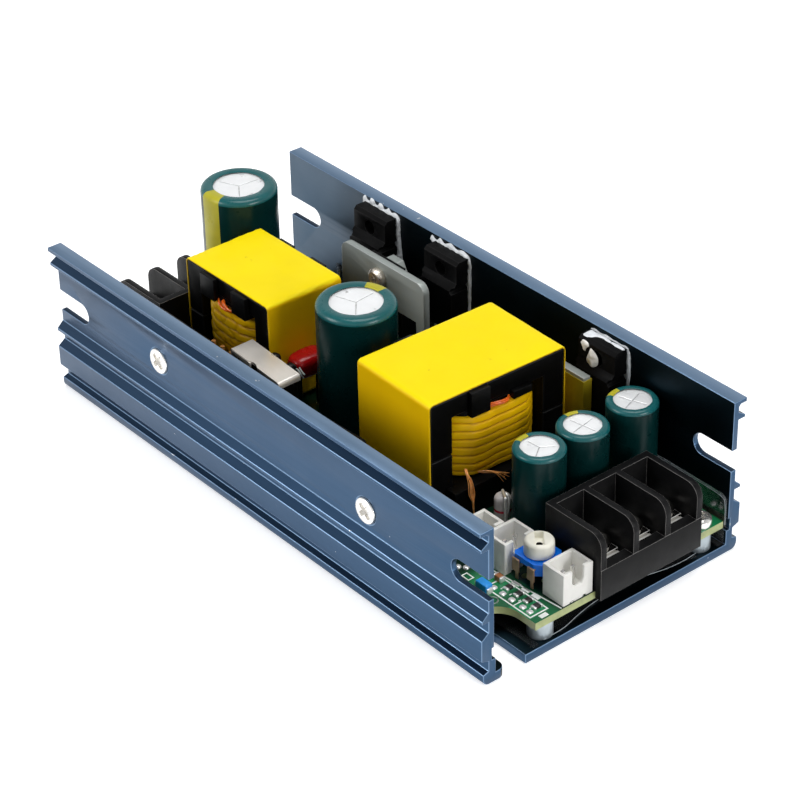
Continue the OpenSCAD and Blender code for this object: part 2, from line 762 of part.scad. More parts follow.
// A device with a metal tab, its back on the plate; the tab carries the screw hole
module plate_rectifier() color([0.1, 0.1, 0.11]) {
    body_share = 0.58;
    lens = device_h * body_share;
    at_plate_device() difference() {
        union() {
            translate([-device_w / 2, -device_t, 0]) cube([device_w, device_t, lens]);
            translate([-device_w / 2, -tab_t, 0]) cube([device_w, tab_t, device_h + tab_t / 2]);
        }
        translate([0, overrun, plate_screw_z - plate_foot_z])
            rotate([90, 0, 0]) cylinder(h = device_t + 2 * overrun, d = screw_d + 2 * hole_gap);
    }
}

module plate_screw() color([0.72, 0.58, 0.34]) at_plate_screw() {
    mirror([0, 0, 1]) pan_head(plate_head_d, plate_head_h);
    cylinder(h = plate_t + tab_t + nut_h + fit_gap, d = screw_d);
}

// Wound parts: the open faces of the core look along X, its foot at z = 0
module core_half(length, depth, height, window, opening, post, end_plate) difference() {
    translate([-depth / 2, -length / 2, 0]) cube([depth, length, (height - core_gap) / 2]);
    difference() {
        translate([0, 0, end_plate]) union() {
            cylinder(h = height, d = window);
            translate([-depth / 2 - overrun, -opening / 2, 0]) cube([depth + 2 * overrun, opening, height]);
        }
        cylinder(h = height, d = post);
    }
}

module wound_core(length, depth, height, window, opening, post, end_plate) {
    core_half(length, depth, height, window, opening, post, end_plate);
    translate([0, 0, height]) mirror([0, 0, 1])
        core_half(length, depth, height, window, opening, post, end_plate);
}

// How much of the core's end plate the second lug covers
main_lug_share = 0.15;
coil_lug_share = 1;
module bobbin(length, depth, height, window, opening, post, end_plate, second_lug_share) {
    low = end_plate + fit_gap;
    high = height - end_plate - fit_gap;
    flange_d = window - 4 * fit_gap;
    rail_l = opening + rail_over;
    tongue_w = opening - 4 * fit_gap;
    lug_reach = depth / 2 + fit_gap + lug_out;
    difference() {
        union() {
            translate([0, 0, low]) cylinder(h = high - low, d = post + 2 * fit_gap + 2 * tube_t);
            for (level = [low, high - flange_t]) translate([0, 0, level]) intersection() {
                cylinder(h = flange_t, d = flange_d);
                translate([-depth / 2, -window / 2, 0]) cube([depth, window, flange_t]);
            }
            translate([-depth / 2 - rail_out, -tongue_w / 2, low])
                cube([depth + 2 * rail_out, tongue_w, flange_t]);
            for (side = [-1, 1]) translate([side * (depth / 2 + fit_gap + rail_out), 0, 0])
                translate([side > 0 ? -rail_out : 0, -rail_l / 2, -core_lift])
                    cube([rail_out, rail_l, core_lift + low + flange_t]);
            // Two lugs at each open face, with room between them for the wires
            for (hand = [-1, 1]) translate([0, hand * lug_step - lug_w / 2, high - flange_t]) {
                translate([-lug_reach, 0, 0]) cube([2 * lug_reach, lug_w, flange_t]);
                for (side = [-1, 1]) translate([side > 0 ? lug_reach - lug_out : -lug_reach, 0, 0])
                    cube([lug_out, lug_w, flange_t + end_plate * (hand > 0 ? second_lug_share : 1)]);
            }
        }
        translate([0, 0, -overrun]) cylinder(h = height + 2 * overrun, d = post + 2 * fit_gap);
    }
}

// Wound body with a ridge for each layer of tape
module winding(height, diameter, post, end_plate) {
    low = end_plate + 2 * fit_gap + flange_t;
    high = height - end_plate - 2 * fit_gap - flange_t;
    step = (high - low) / winding_ridges;
    inner = post / 2 + 2 * fit_gap + tube_t;
    outer = diameter / 2;
    rotate_extrude() polygon(concat(
        [[inner, low]],
        [for (index = [0 : winding_ridges - 1], corner = [0, 1])
            [outer - (corner == 0 ? ridge_in : 0), low + (index + corner) * step]],
        [[inner, high]]
    ));
}

// Tape once round the core, over the top and both closed ends
module tape_band(length, depth, height) {
    half = length / 2 + fit_gap;
    translate([-depth / 2, 0, 0]) rotate([90, 0, 90]) linear_extrude(depth) difference() {
        union() {
            translate([-half, -fit_gap - tape_t]) square([2 * half, height + 2 * fit_gap + 2 * tape_t]);
            translate([-half - tape_t, -fit_gap]) square([2 * half + 2 * tape_t, height + 2 * fit_gap]);
            for (side = [-1, 1], level = [-fit_gap, height + fit_gap])
                translate([side * half, level]) circle(tape_t);
        }
        translate([-half, -fit_gap]) square([2 * half, height + 2 * fit_gap]);
    }
}

// Pins under both rails of a bobbin
module rail_places(depth, opening) {
    rail_l = opening + rail_over;
    pin_step = rail_l / rail_pins;
    for (side = [-1, 1], index = [0 : rail_pins - 1])
        translate([side * (depth / 2 + fit_gap + rail_out / 2), (index + 1 / 2) * pin_step - rail_l / 2, 0])
            children();
}

module board_pin() translate([0, 0, board_bottom - lead_tail]) cylinder(h = board_t + lead_tail, d = pin_d);
module board_pin_hole() translate([0, 0, board_bottom - overrun])
    cylinder(h = board_t + 2 * overrun, d = pin_d + 2 * hole_gap);

main_x = near_end - main_in;
coil_x = far_end + coil_in;
module at_main() translate([main_x, main_y, 0]) rotate([0, 0, main_turn]) children();
module at_coil() translate([coil_x, coil_y, 0]) rotate([0, 0, -90]) children();
module on_board() translate([0, 0, board_top]) children();
module on_lift() translate([0, 0, board_top + core_lift]) children();

module main_core() color([0.13, 0.13, 0.14]) at_main() on_lift()
    wound_core(main_l, main_d, main_h, main_window_d, main_open_w, main_post_d, main_plate_t);
module main_bobbin() color([0.07, 0.07, 0.07]) at_main() on_lift()
    bobbin(main_l, main_d, main_h, main_window_d, main_open_w, main_post_d, main_plate_t, main_lug_share);
module main_winding() color([0.85, 0.62, 0.05]) at_main() on_lift()
    winding(main_h, main_winding_d, main_post_d, main_plate_t);
module main_tape() color([0.98, 0.86, 0.1]) at_main() on_lift() tape_band(main_l, main_d, main_h);

module inductor_core() color([0.13, 0.13, 0.14]) at_coil() on_lift()
    wound_core(coil_l, coil_d, coil_h, coil_window_d, coil_open_w, coil_post_d, coil_plate_t);
module inductor_bobbin() color([0.07, 0.07, 0.07]) at_coil() on_lift()
    bobbin(coil_l, coil_d, coil_h, coil_window_d, coil_open_w, coil_post_d, coil_plate_t, coil_lug_share);
module inductor_winding() color([0.85, 0.62, 0.05]) at_coil() on_lift()
    winding(coil_h, coil_winding_d, coil_post_d, coil_plate_t);
module inductor_tape() color([0.98, 0.86, 0.1]) at_coil() on_lift() tape_band(coil_l, coil_d, coil_h);

module transformer_pins() color([0.75, 0.75, 0.75]) {
    at_main() rail_places(main_d, main_open_w) board_pin();
    at_coil() rail_places(coil_d, coil_open_w) board_pin();
}

// Copper leads run down in front of the rail, from the winding to the rail's top
lead_wire_d = 0.9;
main_lead_steps = [-2, -1, 2];
module main_leads() color([0.8, 0.45, 0.25]) at_main() on_lift() {
    wire_low = main_plate_t + 2 * fit_gap + flange_t;
    wire_high = wire_low + main_plate_t / 2;
    for (step = main_lead_steps)
        translate([main_d / 2 + rail_out - lead_wire_d, step * main_open_w / 6, wire_low])
            cylinder(h = wire_high - wire_low, d = lead_wire_d);
}

coil_lead_steps = [-1, 0, 1];
module inductor_leads() color([0.78, 0.3, 0.2]) at_coil() on_lift() {
    wire_low = coil_plate_t + 2 * fit_gap + flange_t;
    for (step = coil_lead_steps)
        translate([coil_d / 2 + rail_out - lead_wire_d, step * coil_open_w / 6, wire_low])
            cylinder(h = coil_plate_t, d = lead_wire_d);
}

// Capacitors: [x, y, lead spacing] of each, bulk ones first
bulk_places = [
    [far_end + bulk_far_in, bulk_far_y],
    [near_end - bulk_mid_in, bulk_mid_y]
];
small_places = [
    [near_end - small_in, small_left_y],
    [near_end - small_in, small_middle_y],
    [near_end - small_in, film_high_y - small_right_gap - small_d / 2]
];
groove_share = 0.1;
groove_in_share = 0.04;
turn_in_share = 0.14;
edge_share = 0.05;
vent_w_share = 0.025;
vent_l_share = 0.58;

// Side of a can or sleeve in section: radius and height over the crimp and the round top edge
function cap_side(radius, height, diameter, edge) = [
    [radius, 0],
    [radius, diameter * groove_share],
    [radius - diameter * groove_in_share, diameter * groove_share * 3 / 2],
    [radius, diameter * groove_share * 2],
    [radius, height - edge],
    [radius - edge * (1 - cos(45)), height - edge * (1 - sin(45))],
    [radius - edge, height]
];

module can(diameter, height, cuts) color([0.85, 0.85, 0.86]) {
    edge = diameter * edge_share;
    radius = diameter / 2 - sleeve_t - fit_gap / 2;
    top = height - sleeve_t - fit_gap / 2;
    vent_w = diameter * vent_w_share;
    difference() {
        rotate_extrude() polygon(concat([[0, 0]], cap_side(radius, top, diameter, edge), [[0, top]]));
        for (index = [0 : cuts - 1]) rotate([0, 0, index * 360 / cuts])
            translate([0, -vent_w / 2, top - vent_w]) cube([diameter * vent_l_share / 2, vent_w, vent_w + overrun]);
    }
}

module sleeve(diameter, height) color([0.05, 0.28, 0.27]) {
    edge = diameter * edge_share;
    outside = cap_side(diameter / 2, height, diameter, edge);
    inside = cap_side(diameter / 2 - sleeve_t, height - sleeve_t, diameter, edge);
    turn_in = diameter / 2 - diameter * turn_in_share;
    rotate_extrude() polygon(concat(
        outside,
        [[turn_in, height], [turn_in, height - sleeve_t]],
        [for (index = [len(inside) - 1 : -1 : 0]) inside[index]]
    ));
}

module at_bulk(index) translate([bulk_places[index][0], bulk_places[index][1], 0]) children();
module at_small(index) translate([small_places[index][0], small_places[index][1], 0]) children();

module bulk_can_far() at_bulk(0) on_board() can(bulk_d, bulk_h, 3);
module bulk_sleeve_far() at_bulk(0) on_board() sleeve(bulk_d, bulk_h);
module bulk_can_mid() at_bulk(1) on_board() can(bulk_d, bulk_h, 3);
module bulk_sleeve_mid() at_bulk(1) on_board() sleeve(bulk_d, bulk_h);
module small_can_left() at_small(0) on_board() can(small_d, small_h, 3);
module small_sleeve_left() at_small(0) on_board() sleeve(small_d, small_h);
module small_can_middle() at_small(1) on_board() can(small_d, small_h, 4);
module small_sleeve_middle() at_small(1) on_board() sleeve(small_d, small_h);
module small_can_right() at_small(2) on_board() can(small_d, small_h, 4);
module small_sleeve_right() at_small(2) on_board() sleeve(small_d, small_h);

module capacitor_lead_places() {
    for (index = [0, 1], side = [-1, 1]) at_bulk(index) translate([side * bulk_pitch / 2, 0, 0]) children();
    for (index = [0, 1, 2], side = [-1, 1]) at_small(index) translate([0, side * small_pitch / 2, 0]) children();
}

module capacitor_leads() color([0.75, 0.75, 0.75]) capacitor_lead_places() board_pin();

// Barrier block: back at x = 0, front towards +X, foot on the board, middle at y = 0
block_drop = 1.4;
contact_t = 0.8;
contact_pin_w = 1.1;
block_front = block_d;
screw_x_share = 0.56;
screw_x = block_d * screw_x_share;
function block_w(cells, pitch) = cells * pitch + divider_t;

module cell_places(cells, pitch) for (index = [0 : cells - 1])
    translate([screw_x, (index - (cells - 1) / 2) * pitch, 0]) children();

module barrier_block(cells, pitch) color([0.1, 0.1, 0.11]) {
    width = block_w(cells, pitch);
    ledge_x = block_front - block_over + fit_gap;
    difference() {
        union() {
            translate([0, width / 2, 0]) rotate([90, 0, 0]) linear_extrude(width) polygon([
                [0, 0],
                [ledge_x, 0],
                [ledge_x, -block_drop],
                [block_front, -block_drop],
                [block_front, ledge_h],
                [block_front - ledge_d, ledge_h],
                [block_front - ledge_d, cell_floor_h],
                [block_back_t, cell_floor_h],
                [block_back_t, block_h],
                [0, block_h]
            ]);
            for (index = [0 : cells])
                translate([0, (index - cells / 2) * pitch + divider_t / 2, 0]) rotate([90, 0, 0])
                    linear_extrude(divider_t) {
                        square([block_front - fit_gap - divider_r, block_h]);
                        square([block_front - fit_gap, block_h - divider_r]);
                        translate([block_front - fit_gap - divider_r, block_h - divider_r]) circle(divider_r);
                    }
        }
        cell_places(cells, pitch) {
            translate([0, 0, fit_gap]) cylinder(h = block_h, d = screw_d + 2 * hole_gap);
            translate([-screw_x + block_back_t + contact_pin_w, 0, block_h / 2])
                cube([contact_pin_w + 2 * hole_gap, contact_pin_w + 2 * hole_gap, 2 * block_h], center = true);
        }
    }
}

module contact() {
    contact_w = min(output_pitch, input_pitch) - divider_t - 2 * fit_gap;
    contact_l = block_d - block_back_t - ledge_d - 2 * fit_gap;
    translate([-screw_x + block_back_t + fit_gap, -contact_w / 2, cell_floor_h]) difference() {
        cube([contact_l, contact_w, contact_t]);
        translate([screw_x - block_back_t - fit_gap, contact_w / 2, -overrun])
            cylinder(h = contact_t + 2 * overrun, d = screw_d + 2 * hole_gap);
    }
    translate([-screw_x + block_back_t + contact_pin_w / 2, -contact_pin_w / 2, -board_t - lead_tail])
        cube([contact_pin_w, contact_pin_w, cell_floor_h + board_t + lead_tail]);
}

module square_washer() translate([0, 0, cell_floor_h + contact_t]) difference() {
    translate([-terminal_washer_w / 2, -terminal_washer_w / 2, 0])
        cube([terminal_washer_w, terminal_washer_w, terminal_washer_t]);
    translate([0, 0, -overrun])
        cylinder(h = terminal_washer_t + 2 * overrun, d = screw_d + 2 * hole_gap);
}

module terminal_screw() translate([0, 0, cell_floor_h + contact_t + terminal_washer_t]) {
    pan_head(terminal_head_d, terminal_head_h);
    shank = terminal_washer_t + contact_t + cell_floor_h - 2 * fit_gap;
    translate([0, 0, -shank]) cylinder(h = shank, d = screw_d);
}

block_back = board_l / 2 + block_over - block_d;
module at_output() translate([block_back, output_y, board_top]) children();
module at_input() translate([-block_back, input_y, board_top]) rotate([0, 0, 180]) children();
module every_cell() {
    at_output() cell_places(output_cells, output_pitch) children();
    at_input() cell_places(input_cells, input_pitch) children();
}

module output_block() at_output() barrier_block(output_cells, output_pitch);
module input_block() at_input() barrier_block(input_cells, input_pitch);
module terminal_contacts() color([0.72, 0.7, 0.64]) every_cell() contact();
module terminal_washers() color([0.76, 0.76, 0.76]) every_cell() square_washer();
module terminal_screws() color([0.78, 0.78, 0.78]) every_cell() terminal_screw();
module contact_drills() every_cell() translate([-screw_x + block_back_t + contact_pin_w, 0, -board_t / 2])
    cube([contact_pin_w + 2 * hole_gap, contact_pin_w + 2 * hole_gap, board_t + 2 * overrun], center = true);

// Two-pin sockets: the front with its cut-outs looks along +X
socket_places = [
    [near_end - socket_near_in, socket_near_y],
    [near_end - socket_middle_in, socket_middle_y],
    [near_end - socket_far_in, socket_far_y]
];
socket_floor_share = 0.2;
socket_sill_share = 0.46;
socket_window_w = 3;
socket_taper_share = 0.6;
socket_shoulder_share = 0.62;
socket_foot_w = 1;
socket_foot = 0.4;
module socket_housing() color([0.92, 0.92, 0.88]) {
    inner_w = socket_w - 2 * socket_wall;
    inner_d = socket_d - 2 * socket_wall;
    difference() {
        translate([-socket_d / 2, -socket_w / 2, 0]) cube([socket_d, socket_w, socket_h]);
        translate([-inner_d / 2, -inner_w / 2, socket_h * socket_floor_share])
            cube([inner_d, inner_w, socket_h]);
        // A tapered window runs down the front wall to the sill
        translate([inner_d / 2 - overrun, 0, 0]) rotate([90, 0, 90])
            linear_extrude(socket_wall + 2 * overrun) polygon([
                [-socket_window_w * socket_taper_share / 2, socket_h * socket_sill_share],
                [socket_window_w * socket_taper_share / 2, socket_h * socket_sill_share],
                [socket_window_w / 2, socket_h * socket_shoulder_share],
                [socket_window_w / 2, socket_h + overrun],
                [-socket_window_w / 2, socket_h + overrun],
                [-socket_window_w / 2, socket_h * socket_shoulder_share]
            ]);
        // Two feet leave a gap under the front
        for (side = [-1, 1])
            translate([socket_d / 2 - socket_foot, side * inner_w / 4 - socket_foot_w / 2, -overrun])
                cube([socket_foot + overrun, socket_foot_w, socket_foot + overrun]);
        for (side = [-1, 1]) translate([0, side * socket_pitch / 2, socket_h / 2])
            cube([socket_pin_w + 2 * stem_gap, socket_pin_w + 2 * stem_gap, 2 * socket_h], center = true);
    }
}

module at_socket(index) translate([socket_places[index][0], socket_places[index][1], board_top]) children();
module socket_near() at_socket(0) socket_housing();
module socket_middle() at_socket(1) socket_housing();
module socket_far() at_socket(2) socket_housing();

socket_pin_share = 0.8;
diagonal_share = sqrt(2);
module socket_pins() color([0.8, 0.78, 0.7]) for (index = [0, 1, 2], side = [-1, 1])
    at_socket(index) translate([-socket_pin_w / 2, side * socket_pitch / 2 - socket_pin_w / 2, -board_t - lead_tail])
        cube([socket_pin_w, socket_pin_w, board_t + lead_tail + socket_h * socket_pin_share]);

module socket_drills() for (index = [0, 1, 2], side = [-1, 1])
    at_socket(index) translate([0, side * socket_pitch / 2, -board_t - overrun])
        cylinder(h = board_t + 2 * overrun, d = socket_pin_w * diagonal_share + 2 * hole_gap);

// Trimmer: a flat body on three legs, with a rotor that turns about Z
trimmer_x = near_end - trimmer_in;
trimmer_corner = 1.3;
trimmer_skirt = 1.2;
rotor_lift = 0.1;
stem_l_share = 0.7;
rotor_slot_w = 1.1;
rotor_slot_share = 0.7;
rotor_crown_share = 0.55;
rotor_top_share = 0.84;
module at_trimmer() translate([trimmer_x, trimmer_y, board_top + trimmer_top]) children();

module trimmer_body() color([0.05, 0.25, 0.75]) at_trimmer() difference() {
    half = trimmer_w / 2;
    translate([0, 0, -trimmer_h]) linear_extrude(trimmer_h) polygon([
        [-half, -half + trimmer_corner / 2],
        [-half + trimmer_corner / 2, -half],
        [half - trimmer_corner, -half],
        [half, -half + trimmer_corner],
        [half, half - trimmer_corner],
        [half - trimmer_corner, half],
        [-half + trimmer_corner / 2, half],
        [-half, half - trimmer_corner / 2]
    ]);
    // The skirt under the top plate is open between its corners
    translate([-half + trimmer_skirt, -half - overrun, -trimmer_h - overrun])
        cube([trimmer_w - 2 * trimmer_skirt, trimmer_w + 2 * overrun, trimmer_h / 2 + overrun]);
    translate([0, 0, -trimmer_h - overrun])
        cylinder(h = trimmer_h + 2 * overrun, d = rotor_stem_d + 2 * stem_gap);
}

module trimmer_rotor() color([0.93, 0.91, 0.82]) at_trimmer() {
    radius = rotor_d / 2;
    difference() {
        translate([0, 0, rotor_lift]) rotate_extrude() polygon([
            [0, 0],
            [radius, 0],
            [radius, rotor_h * rotor_crown_share],
            [radius * rotor_top_share, rotor_h],
            [0, rotor_h]
        ]);
        translate([-rotor_d * rotor_slot_share / 2, -rotor_slot_w / 2, rotor_h * rotor_crown_share])
            cube([rotor_d * rotor_slot_share, rotor_slot_w, rotor_h]);
    }
    translate([0, 0, -trimmer_h * stem_l_share])
        cylinder(h = trimmer_h * stem_l_share + rotor_lift, d = rotor_stem_d);
}

// Flat legs: one in the middle of the +X side, two on the -X side
trimmer_leg_w = 1.3;
trimmer_leg_t = 0.5;
module trimmer_leg_places() {
    translate([trimmer_w / 4, 0, 0]) children();
    for (side = [-1, 1]) translate([-trimmer_w / 4, side * trimmer_w / 4, 0]) children();
}
module trimmer_legs() color([0.45, 0.3, 0.18]) translate([trimmer_x, trimmer_y, 0]) trimmer_leg_places()
    translate([-trimmer_leg_t / 2, -trimmer_leg_w / 2, board_bottom - lead_tail])
        cube([trimmer_leg_t, trimmer_leg_w, board_t + lead_tail + trimmer_top - trimmer_h / 2]);
module trimmer_drills() translate([trimmer_x, trimmer_y, 0]) trimmer_leg_places()
    translate([0, 0, board_bottom - overrun])
        cylinder(h = board_t + 2 * overrun, d = trimmer_leg_w + 2 * hole_gap);

// Bridge rectifier with a folded clip over its top
bridge_x = far_end + clip_in;
bridge_t = 3.4;
bridge_pitch = 3.6;
bridge_seat = 1.2;
bridge_y = clip_y;
bridge_foot = board_top + bridge_seat;
bridge_l = clip_l - 2 * clip_t - 2 * fit_gap;
clip_leg_h = 6;
clip_hook_w = 3;
module bridge_rectifier() color([0.07, 0.07, 0.08])
    translate([bridge_x - bridge_l / 2, bridge_y - bridge_t / 2, bridge_foot])
        cube([bridge_l, bridge_t, clip_top_z - clip_t - bridge_foot]);

module clamp_clip() color([0.77, 0.73, 0.68]) translate([bridge_x, clip_y, clip_top_z]) {
    translate([-clip_l / 2, -clip_w / 2, -clip_t]) cube([clip_l, clip_w, clip_t]);
    for (side = [-1, 1]) translate([side > 0 ? clip_l / 2 - clip_t : -clip_l / 2, -clip_w / 2, -clip_leg_h])
        cube([clip_t, clip_w, clip_leg_h]);
    translate([-clip_hook_w, -clip_w / 2, -clip_leg_h / 2]) cube([clip_hook_w, clip_t, clip_leg_h / 2]);
}

// Boxed capacitors that stand on the board beside the wall at -Y
module boxed_capacitor(length) {
    chamfer = filter_w / 12;
    translate([-length / 2, 0, board_top]) rotate([90, 0, 90]) linear_extrude(length) polygon([
        [-filter_w / 2, 0],
        [filter_w / 2, 0],
        [filter_w / 2, filter_h - chamfer],
        [filter_w / 2 - chamfer, filter_h],
        [-filter_w / 2 + chamfer, filter_h],
        [-filter_w / 2, filter_h - chamfer]
    ]);
}
module filter_capacitor() color([0.12, 0.12, 0.13])
    translate([far_end + filter_in, filter_y, 0]) boxed_capacitor(filter_l);
module snubber_capacitor() color([0.12, 0.12, 0.13])
    translate([near_end - snubber_in, filter_y, 0]) rotate([0, 0, snubber_turn]) boxed_capacitor(snubber_l);

// Dipped film capacitor between the inductor and the middle bulk capacitor
film_gap = 0.35;
film_seat = 0.8;
film_x = coil_x + coil_l / 2 + fit_gap + tape_t + film_gap + film_t / 2;
film_y = bridge_y + bridge_t / 2 + clip_w / 2 + tube_lead_d + film_w / 2;
film_pitch_share = 0.25;
module at_film() for (side = [-1, 1]) translate([film_x, film_y + side * film_w * film_pitch_share, 0]) children();
module film_capacitor() color([0.62, 0.1, 0.08])
    translate([film_x, film_y + film_w / 2, board_top + film_seat]) rotate([90, 0, 0]) linear_extrude(film_w) {
        translate([-film_t / 2, film_t / 2]) square([film_t, film_h - film_t]);
        translate([0, film_t / 2]) circle(film_t / 2);
        translate([0, film_h - film_t / 2]) circle(film_t / 2);
    }

// Leads in black sleeving beside the clip
tube_places = [
    [film_x - film_t / 2 + tube_lead_d / 2, clip_y + clip_w / 2 + tube_lead_d / 2 + film_gap],
    [film_x + film_t / 2 + tube_lead_d / 4, clip_y + clip_w / 2 + tube_lead_d / 2 + film_gap]
];
module sleeved_leads() color([0.06, 0.06, 0.06]) for (place = tube_places) translate([place[0], place[1], board_top]) {
    cylinder(h = tube_lead_h - tube_lead_d / 2, d = tube_lead_d);
    translate([0, 0, tube_lead_h - tube_lead_d / 2]) sphere(d = tube_lead_d);
}

// Taped heat plate in front of the output rectifier
side_plate_x = near_end - rectifier_in - side_plate_l / 2 + device_w / 20;
side_plate_y = wall_inner - paste_t - device_t - 2 * fit_gap - tape_t - side_plate_t / 2;
side_tape_low = 0.6;
module side_plate() color([0.6, 0.6, 0.6])
    translate([side_plate_x - side_plate_l / 2, side_plate_y - side_plate_t / 2, board_top])
        cube([side_plate_l, side_plate_t, side_plate_h]);
module side_plate_tape() color([0.5, 0.42, 0.08]) {
    lower = board_top + side_tape_low;
    wrap_l = side_plate_l + 2 * stem_gap;
    wrap_t = side_plate_t + 2 * stem_gap;
    translate([side_plate_x, side_plate_y, lower]) difference() {
        translate([-wrap_l / 2 - tape_t / 2, -wrap_t / 2 - tape_t / 2, 0])
            cube([wrap_l + tape_t, wrap_t + tape_t, side_plate_h - 2 * side_tape_low]);
        translate([-wrap_l / 2, -wrap_t / 2, -overrun])
            cube([wrap_l, wrap_t, side_plate_h + 2 * overrun]);
    }
}

// Standing diode with its upper lead bent down beside it
diode_in = 27.3;
diode_x = near_end - diode_in;
diode_y = -3.6;
diode_turn = 60;
diode_reach_share = 0.75;
diode_reach = diode_d * diode_reach_share;
module at_diode() translate([diode_x, diode_y, 0]) rotate([0, 0, diode_turn]) children();
module diode() color([0.6, 0.58, 0.58]) at_diode() translate([0, 0, board_top + diode_lift]) {
    chamfer = diode_d / 6;
    rotate_extrude() polygon([
        [0, 0],
        [diode_d / 2 - chamfer, 0],
        [diode_d / 2, chamfer],
        [diode_d / 2, diode_h - chamfer],
        [diode_d / 2 - chamfer, diode_h],
        [0, diode_h]
    ]);
}
module diode_lead() at_diode() {
    top = board_top + diode_lift + diode_h;
    translate([0, 0, board_bottom - lead_tail]) cylinder(h = board_t + lead_tail + diode_lift, d = diode_lead_d);
    translate([0, 0, top]) cylinder(h = diode_lead_d, d = diode_lead_d);
    translate([0, 0, top + diode_lead_d]) sphere(d = diode_lead_d);
    translate([0, 0, top + diode_lead_d]) rotate([90, 0, 0]) cylinder(h = diode_reach, d = diode_lead_d);
    translate([0, -diode_reach, top + diode_lead_d]) sphere(d = diode_lead_d);
    translate([0, -diode_reach, board_bottom - lead_tail])
        cylinder(h = top + diode_lead_d - board_bottom + lead_tail, d = diode_lead_d);
}
module diode_drills() at_diode() for (offset = [0, diode_reach])
    translate([0, -offset, board_bottom - overrun])
        cylinder(h = board_t + 2 * overrun, d = diode_lead_d + 2 * hole_gap);

// Chip parts at the output corner: two rows of resistors, a capacitor and a small box beside the wall
chip_l = 2;
chip_w = 1.25;
chip_h = 0.55;
chip_pitch = 2.7;
chip_rows = 2;
chip_columns = 4;
chip_in = 14.6;
chip_y = -14.6;
chip_row_step = 2.6;
chip_slant = 0.45;
chip_box_in = 14.4;
chip_box_y = -21.6;
chip_box_share = 1.5;
module chip_parts() color([0.2, 0.2, 0.2]) on_board() {
    for (row = [0 : chip_rows - 1], column = [0 : chip_columns - 1])
        translate([near_end - chip_in + column * chip_pitch + row * chip_slant, chip_y - row * chip_row_step, 0])
            cube([chip_w, chip_l, chip_h]);
    translate([near_end - chip_in - chip_pitch, chip_y - chip_row_step, 0]) cube([chip_l, chip_w, chip_w]);
    translate([near_end - chip_box_in, chip_box_y, 0])
        cube([chip_l * chip_box_share, chip_w * chip_box_share, chip_w * chip_box_share]);
}

// The board, drilled for every lead that passes through it
module circuit_board() color([0.05, 0.4, 0.2]) difference() {
    translate([-board_l / 2, -board_w / 2, board_bottom]) cube([board_l, board_w, board_t]);
    for (end = [0, half_turn]) rotate([0, 0, end])
        translate([board_l / 2 - board_notch_in, -base_slot_y, board_bottom - overrun]) {
            cylinder(h = board_t + 2 * overrun, r = board_notch_r);
            translate([0, -board_notch_r, 0])
                cube([board_notch_in + overrun, 2 * board_notch_r, board_t + 2 * overrun]);
            translate([-board_notch_r, -board_notch_r - board_notch_r, 0])
                cube([board_notch_in + board_notch_r + overrun, 2 * board_notch_r, board_t + 2 * overrun]);
        }
    for (index = screwed_pillars)
        translate([pillar_places[index][0], pillar_places[index][1], board_bottom - overrun])
            cylinder(h = board_t + 2 * overrun, d = screw_d + 2 * hole_gap);
    at_main() rail_places(main_d, main_open_w) board_pin_hole();
    at_coil() rail_places(coil_d, coil_open_w) board_pin_hole();
    capacitor_lead_places() board_pin_hole();
    device_drills();
    contact_drills();
    socket_drills();
    trimmer_drills();
    diode_drills();
}

chassis();
insulating_sheet();
circuit_board();
standoffs();
board_screws();
wall_screws();
hex_nuts();
near_wall_devices();
power_transistor_a();
power_transistor_b();
output_rectifier();
device_leads();
thermal_paste();
heat_plate();
plate_rectifier();
plate_screw();
main_core();
main_bobbin();
main_winding();
main_tape();
main_leads();
inductor_core();
inductor_bobbin();
inductor_winding();
inductor_tape();
inductor_leads();
transformer_pins();
bulk_can_far();
bulk_sleeve_far();
bulk_can_mid();
bulk_sleeve_mid();
small_can_left();
small_sleeve_left();
small_can_middle();
small_sleeve_middle();
small_can_right();
small_sleeve_right();
capacitor_leads();
output_block();
input_block();
terminal_contacts();
terminal_washers();
terminal_screws();
socket_near();
socket_middle();
socket_far();
socket_pins();
trimmer_body();
trimmer_rotor();
trimmer_legs();
clamp_clip();
bridge_rectifier();
filter_capacitor();
snubber_capacitor();
film_capacitor();
sleeved_leads();
side_plate();
side_plate_tape();
diode();
chip_parts();
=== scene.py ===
import math

import bmesh
import bpy
from mathutils import Matrix, Vector, geometry, noise


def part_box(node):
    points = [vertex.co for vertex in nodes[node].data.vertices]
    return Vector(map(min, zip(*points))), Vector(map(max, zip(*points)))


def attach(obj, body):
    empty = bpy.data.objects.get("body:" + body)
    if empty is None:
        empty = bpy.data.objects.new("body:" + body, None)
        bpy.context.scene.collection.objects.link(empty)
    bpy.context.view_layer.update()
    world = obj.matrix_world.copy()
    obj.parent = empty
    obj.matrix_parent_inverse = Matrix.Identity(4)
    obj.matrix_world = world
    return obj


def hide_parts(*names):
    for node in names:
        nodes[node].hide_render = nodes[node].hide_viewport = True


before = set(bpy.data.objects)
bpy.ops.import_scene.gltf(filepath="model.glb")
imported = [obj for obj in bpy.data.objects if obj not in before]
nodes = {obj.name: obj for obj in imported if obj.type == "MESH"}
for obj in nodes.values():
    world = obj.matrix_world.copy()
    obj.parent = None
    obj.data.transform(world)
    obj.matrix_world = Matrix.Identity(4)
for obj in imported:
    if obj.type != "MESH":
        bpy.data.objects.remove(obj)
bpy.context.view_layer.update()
scene = bpy.context.scene
mm = 0.001


# Camera, lamps and floor

studio = {
    "cameraPlace": (0.35928, -0.28907, 0.31408),
    "cameraTurn": (57.0377, 1.0714, 50.0495),
    "lens": 123.39,
    "keyPower": 4.5,
    "keySize": 0.6,
    "fillPower": 4.3,
    "rimPower": 3.4,
    "worldStrength": 0.16,
    "floorColour": (0.93, 0.93, 0.93, 1.0),
    "floorGlow": 0.5,
}


